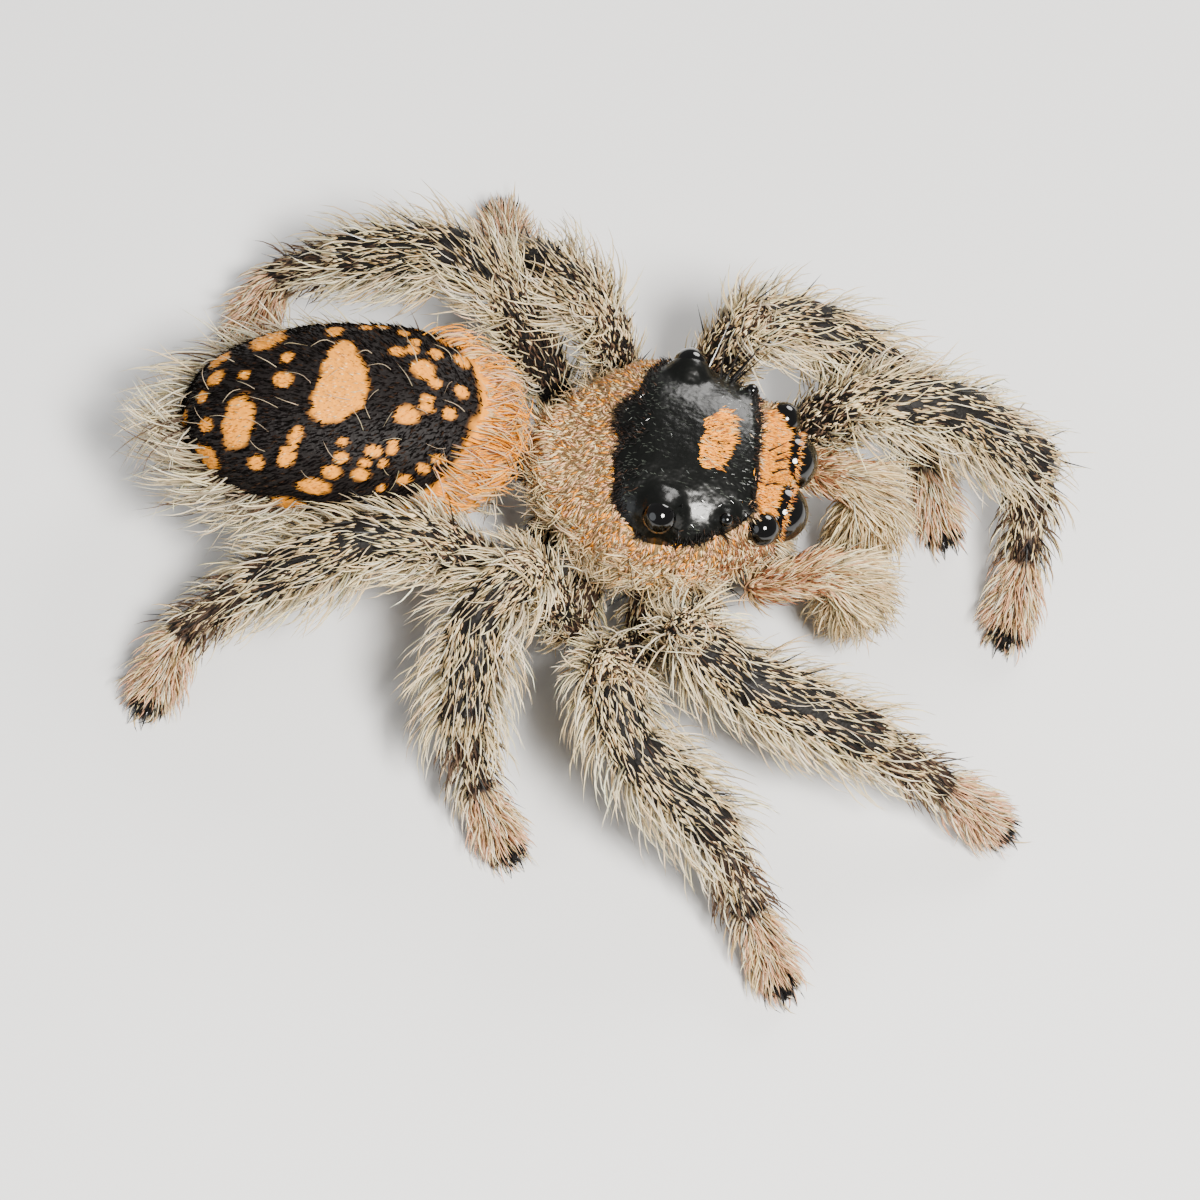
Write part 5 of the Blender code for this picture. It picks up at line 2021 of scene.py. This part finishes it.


# Bristles, and grey flakes that carry painted glints on the head plate, by a node group


class BristleGroup:
    """A node group that stands a tapered spine on each point, along its own direction."""

    SOCKETS = (("Mesh", "Geometry"), ("Width", "Float"), ("Sides", "Int"), ("Finish", "Material"))
    CONE = (("Side Segments", 4), ("Radius Top", 0.04), ("Radius Bottom", 1.0), ("Depth", 1.0))

    def __init__(self) -> None:
        """Build the group with inputs for width, sides and finish."""
        self.tree = bpy.data.node_groups.new("bristles", "GeometryNodeTree")
        face = self.tree.interface
        self.ids = {
            name: face.new_socket(name, in_out="INPUT", socket_type=f"NodeSocket{kind}").identifier
            for name, kind in self.SOCKETS}
        face.new_socket("Mesh", in_out="OUTPUT", socket_type="NodeSocketGeometry")
        start, end = self.node("NodeGroupInput"), self.node("NodeGroupOutput")
        cone = self.node("GeometryNodeMeshCone")
        for name, value in self.CONE:
            cone.inputs[name].default_value = value
        points, stand = self.node("GeometryNodeMeshToPoints"), self.node("GeometryNodeInstanceOnPoints")
        lie = self.node("GeometryNodeInputNamedAttribute", data_type="FLOAT_VECTOR")
        lie.inputs["Name"].default_value = "lie"
        size = self.node("GeometryNodeInputNamedAttribute", data_type="FLOAT")
        size.inputs["Name"].default_value = "size"
        turn = self.node("FunctionNodeAlignRotationToVector", axis="Z")
        scale = self.node("ShaderNodeCombineXYZ")
        real, finish = self.node("GeometryNodeRealizeInstances"), self.node("GeometryNodeSetMaterial")
        for source, output, target, into in (
            (start, "Sides", cone, "Vertices"), (start, "Mesh", points, "Mesh"),
            (points, "Points", stand, "Points"), (cone, "Mesh", stand, "Instance"),
            (lie, "Attribute", turn, "Vector"),
            (turn, "Rotation", stand, "Rotation"), (start, "Width", scale, "X"), (start, "Width", scale, "Y"),
            (size, "Attribute", scale, "Z"), (scale, "Vector", stand, "Scale"),
            (stand, "Instances", real, "Geometry"), (real, "Geometry", finish, "Geometry"),
            (start, "Finish", finish, "Material"), (finish, "Geometry", end, "Mesh"),
        ):
            self.tree.links.new(source.outputs[output], target.inputs[into])

    def node(self, kind: str, **values: str) -> Node:
        """Add a node and set its properties.

        Args:
            kind: The node's type.
            **values: Its properties.

        Returns:
            The node.
        """
        made = self.tree.nodes.new(kind)
        for key, value in values.items():
            setattr(made, key, value)
        return made

    def apply(self, obj: Object, values: dict) -> None:
        """Run the group on an object and keep the result as plain mesh.

        Args:
            obj: The object whose mesh feeds the group.
            values: Input values by socket name.
        """
        modifier = obj.modifiers.new(self.tree.name, "NODES")
        modifier.node_group = self.tree
        for name, value in values.items():
            modifier[self.ids[name]] = value
        obj.update_tag()
        bpy.context.view_layer.update()
        made = bpy.data.meshes.new_from_object(obj.evaluated_get(bpy.context.evaluated_depsgraph_get()))
        obj.modifiers.clear()
        old, obj.data = obj.data, made
        made.name = obj.name
        bpy.data.meshes.remove(old)


@dataclass
class Bristles:
    """The stout black bristles of legs and head, and the small grey flakes on the head plate that carry
    painted glints.
    """

    writer: Writer
    looks: dict
    skin: Skin
    group: BristleGroup = field(default_factory=BristleGroup)
    # Place, lean, count and size of each tuft on the head
    tufts: tuple = (
        ((0.5, 1.22, 2.75), (-0.1, 0.7, 0.75), 5, 0.72), ((0.5, -1.22, 2.75), (-0.1, -0.65, 0.6), 4, 0.42),
        ((1.5, 0.0, 2.75), (0.75, 0.0, 0.6), 8, 0.34), ((0.8, 1.2, 2.75), (0.5, 0.45, 0.6), 9, 0.75),
        ((1.15, -1.1, 2.7), (0.35, -0.6, 0.7), 5, 0.4),
    )

    def build(self) -> None:
        """Place the bristles and the painted glint flakes and turn them into mesh."""
        rows = [self.on_limb(limb, number) for number, (_, limb) in enumerate(self.skin.limbs)]
        rows += [self.on_head(*tuft) for tuft in self.tufts]
        self.emit("bristles", rows, 0.016, 6, Look.BRISTLE)
        # The flakes' grey on the black plate is a painted glint.
        self.emit("plate_flakes", [self.on_plate()], 0.009, 5, Look.GLINT)

    def on_limb(self, limb: Limb, number: int) -> tuple:
        """Return places, directions and lengths of a few bristles along one limb part.

        Args:
            limb: The limb part.
            number: Its place in the list, for the seed.

        Returns:
            The three, for each bristle.
        """
        centre, radius, way, mark = limb.dense(80)
        top, side = frames_along(way)
        picks = scatter(16 if limb.name.endswith("upper") else 22, 500 + number)
        at = np.clip((picks[:, 0] * 79).astype(int), 2, 77)
        angle = np.radians(-130 + 260 * picks[:, 1])[:, None]
        spoke = np.cos(angle) * top[at] + np.sin(angle) * side[at]
        root, out, near = self.skin.body.seat(centre[at] + spoke * radius[at, None])
        near &= mark[at] < 5.3
        lean = unit(way[at] * 0.9 + out * 0.75 + RNG.normal(0, 0.12, out.shape))
        return root[near], lean[near], spread(0.3, 0.62, near.sum())

    def on_head(self, spot: tuple, lean: tuple, count: int, size: float) -> tuple:
        """Return the same of one tuft of long bristles beside the eyes.

        Args:
            spot: Its place.
            lean: Which way it leans.
            count: How many.
            size: Their length.

        Returns:
            The three, for each bristle.
        """
        spots = np.array(spot) + RNG.normal(0, 0.13, (count, 3)) * (1, 1, 0.3)
        root, out, near = self.skin.body.seat(spots, 0.4)
        near &= clear_of_eyes(root, 0.02)
        way = unit(np.array(lean) + 0.4 * out + RNG.normal(0, 0.16, out.shape))
        return root[near], way[near], size * spread(0.7, 1.15, near.sum())

    def on_plate(self) -> tuple:
        """Return the same of the small flakes that lie flat on the bare plate: its scales, grey as painted
        glints.

        Returns:
            The three, for each flake.
        """
        site = ShellGrower(self.skin.body, self.skin.carapace).places(9000, 91, 20, 90)
        depth = inside(site.root, PLATE_EDGE)
        keep = (depth > 0.04) & (site.root[:, 2] > 2.35) & (head_orange(site.root) < 0.3)
        keep &= clear_of_eyes(site.root, 0.02) & won(0.12 + 0.2 * ease((0.45 - depth) / 0.4))
        site = site.only(keep)
        lean = unit(site.comb(np.array([0.9, 0.0, -0.2]), 0.3) + site.out * 0.16)
        return site.raised(0.02).root, lean, spread(0.04, 0.07, len(lean))

    def emit(self, name: str, rows: list, width: float, sides: int, look: Look) -> None:
        """Write bristles as points and grow them with the node group.

        Args:
            name: The object's name.
            rows: Places, directions and lengths, in groups.
            width: Width of a spine.
            sides: Its sides.
            look: Its finish.
        """
        spots, lean, size = (np.concatenate([row[k] for row in rows]) for k in range(3))
        obj = self.writer.mesh(name, spots, np.zeros((0, 3), int), floor=0.05)
        layer = obj.data.attributes.new("lie", "FLOAT_VECTOR", "POINT")
        layer.data.foreach_set("vector", lean.astype(np.float32).ravel())
        layer = obj.data.attributes.new("size", "FLOAT", "POINT")
        layer.data.foreach_set("value", (size * MM).astype(np.float32))
        self.group.apply(obj, {"Width": width * MM, "Sides": sides, "Finish": self.looks[look]})
        self.writer.place(obj, self.looks[look], Slot.SHELL)
        LOG.info("%s: %d faces", name, len(obj.data.polygons))


# Studio


@dataclass(frozen=True)
class Studio:
    """Floor, lights and camera."""

    shift: Array
    looks: dict
    ahead: tuple = (0.0553, 0.5266, -0.8483)
    right: tuple = (0.9945, -0.1045, 0.0)
    up: tuple = (0.0887, 0.8437, 0.5295)
    roll: tuple = (0.9468, 0.3219)
    target: tuple = (-0.18, -1.5, 1.0)
    lens: float = 232.0
    # These three are in metres.
    lamp_distance: float = 0.06
    camera_distance: float = 0.1
    floor_half: float = 0.4
    # Name, direction, size in metres, power and colour of each lamp
    lamps: tuple = (
        ("key", (0.3, -0.42, 0.9), 0.02, 0.128, (1.0, 0.97, 0.92)),
        ("fill", (-0.8, -0.6, 0.5), 0.05, 0.014, (0.9, 0.95, 1.0)),
        ("back", (0.3, 0.9, 0.55), 0.03, 0.034, (1.0, 0.98, 0.95)),
    )

    def build(self) -> None:
        """Set up the whole studio."""
        half, data = self.floor_half, bpy.data.meshes.new("floor")
        corners = [(-half, -half, 0), (half, -half, 0), (half, half, 0), (-half, half, 0)]
        data.from_pydata(corners, [], [(0, 1, 2, 3)])
        data.materials.append(self.looks[Look.FLOOR])
        floor = new_object("floor", data)
        world = bpy.data.worlds.new("studio")
        world.use_nodes = True
        node = world.node_tree.nodes["Background"]
        node.inputs["Color"].default_value = (0.98, 0.98, 1.0, 1.0)
        node.inputs["Strength"].default_value = 0.31
        bpy.context.scene.world = world
        for lamp in self.lamps:
            self.lamp(*lamp)
        self.camera()

    def lamp(self, name: str, way: tuple, size: float, power: float, colour: tuple) -> None:
        """Hang one soft round lamp that faces the target.

        Args:
            name: Its name.
            way: Its direction from the target.
            size: Its width in metres.
            power: Its power in watts.
            colour: Its colour.
        """
        data = bpy.data.lights.new(name, "AREA")
        data.shape, data.size, data.energy, data.color = "DISK", size, power, colour
        lamp = new_object(name, data)
        spot = np.array(self.target) * MM + self.shift + unit(np.array(way)) * self.lamp_distance
        lamp.location = Vector(spot)
        lamp.rotation_euler = Vector(-np.array(way)).to_track_quat("-Z", "Y").to_euler()

    def camera(self) -> None:
        """Aim the camera from where the photo was taken."""
        ahead, right, up = (unit(np.array(v)) for v in (self.ahead, self.right, self.up))
        cosine, sine = self.roll
        x_axis, y_axis = unit(cosine * right + sine * up), unit(-sine * right + cosine * up)
        data = bpy.data.cameras.new("camera")
        data.lens, data.sensor_width, data.clip_start, data.clip_end = self.lens, 36.0, 0.005, 2.0
        camera = new_object("camera", data)
        spot = np.array(self.target) * MM + self.shift - ahead * self.camera_distance
        turn = Matrix((x_axis, y_axis, -ahead)).transposed().to_4x4()
        camera.matrix_world = Matrix.Translation(Vector(spot)) @ turn
        bpy.context.scene.camera = camera


def dress(skin: Skin, writer: Writer, looks: dict) -> None:
    """Write the skin and every coat piece.

    Args:
        skin: The finished skin.
        writer: Writes meshes.
        looks: Materials by finish.
    """
    obj = writer.mesh("skin", skin.verts, skin.faces)
    writer.paint(obj, skin.tones())
    writer.place(obj, looks[Look.SKIN], Slot.SHELL)
    flesh = [name for name in frame["nodes"] if not name.startswith(("eye_", "fang_", "spinnerets"))]
    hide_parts(*flesh)
    coats = [LegCoat(leg).grow(skin, k) for k, leg in enumerate(LEGS)]
    coats += MouthCoat().grow(skin) + HeadCoat(skin).grow() + AbdomenCoat(skin).grow()
    for coat in coats:
        made = writer.coat(coat, looks[Look.VELVET if coat.slot is Slot.VELVET else Look.COAT])
        LOG.info("%s: %d triangles", coat.name, len(made.data.polygons))


def main() -> None:
    """Build the spider in order and report how large each piece is."""
    logging.basicConfig(level=logging.INFO, format="%(message)s")
    writer = Writer()
    looks = {look: look.value.build() for look in Look}
    skin = Skin()
    skin.build()
    dress(skin, writer, looks)
    HardParts(writer, looks, skin).build()
    Bristles(writer, looks, skin).build()
    Studio(writer.shift, looks).build()


if __name__ == "__main__":
    main()
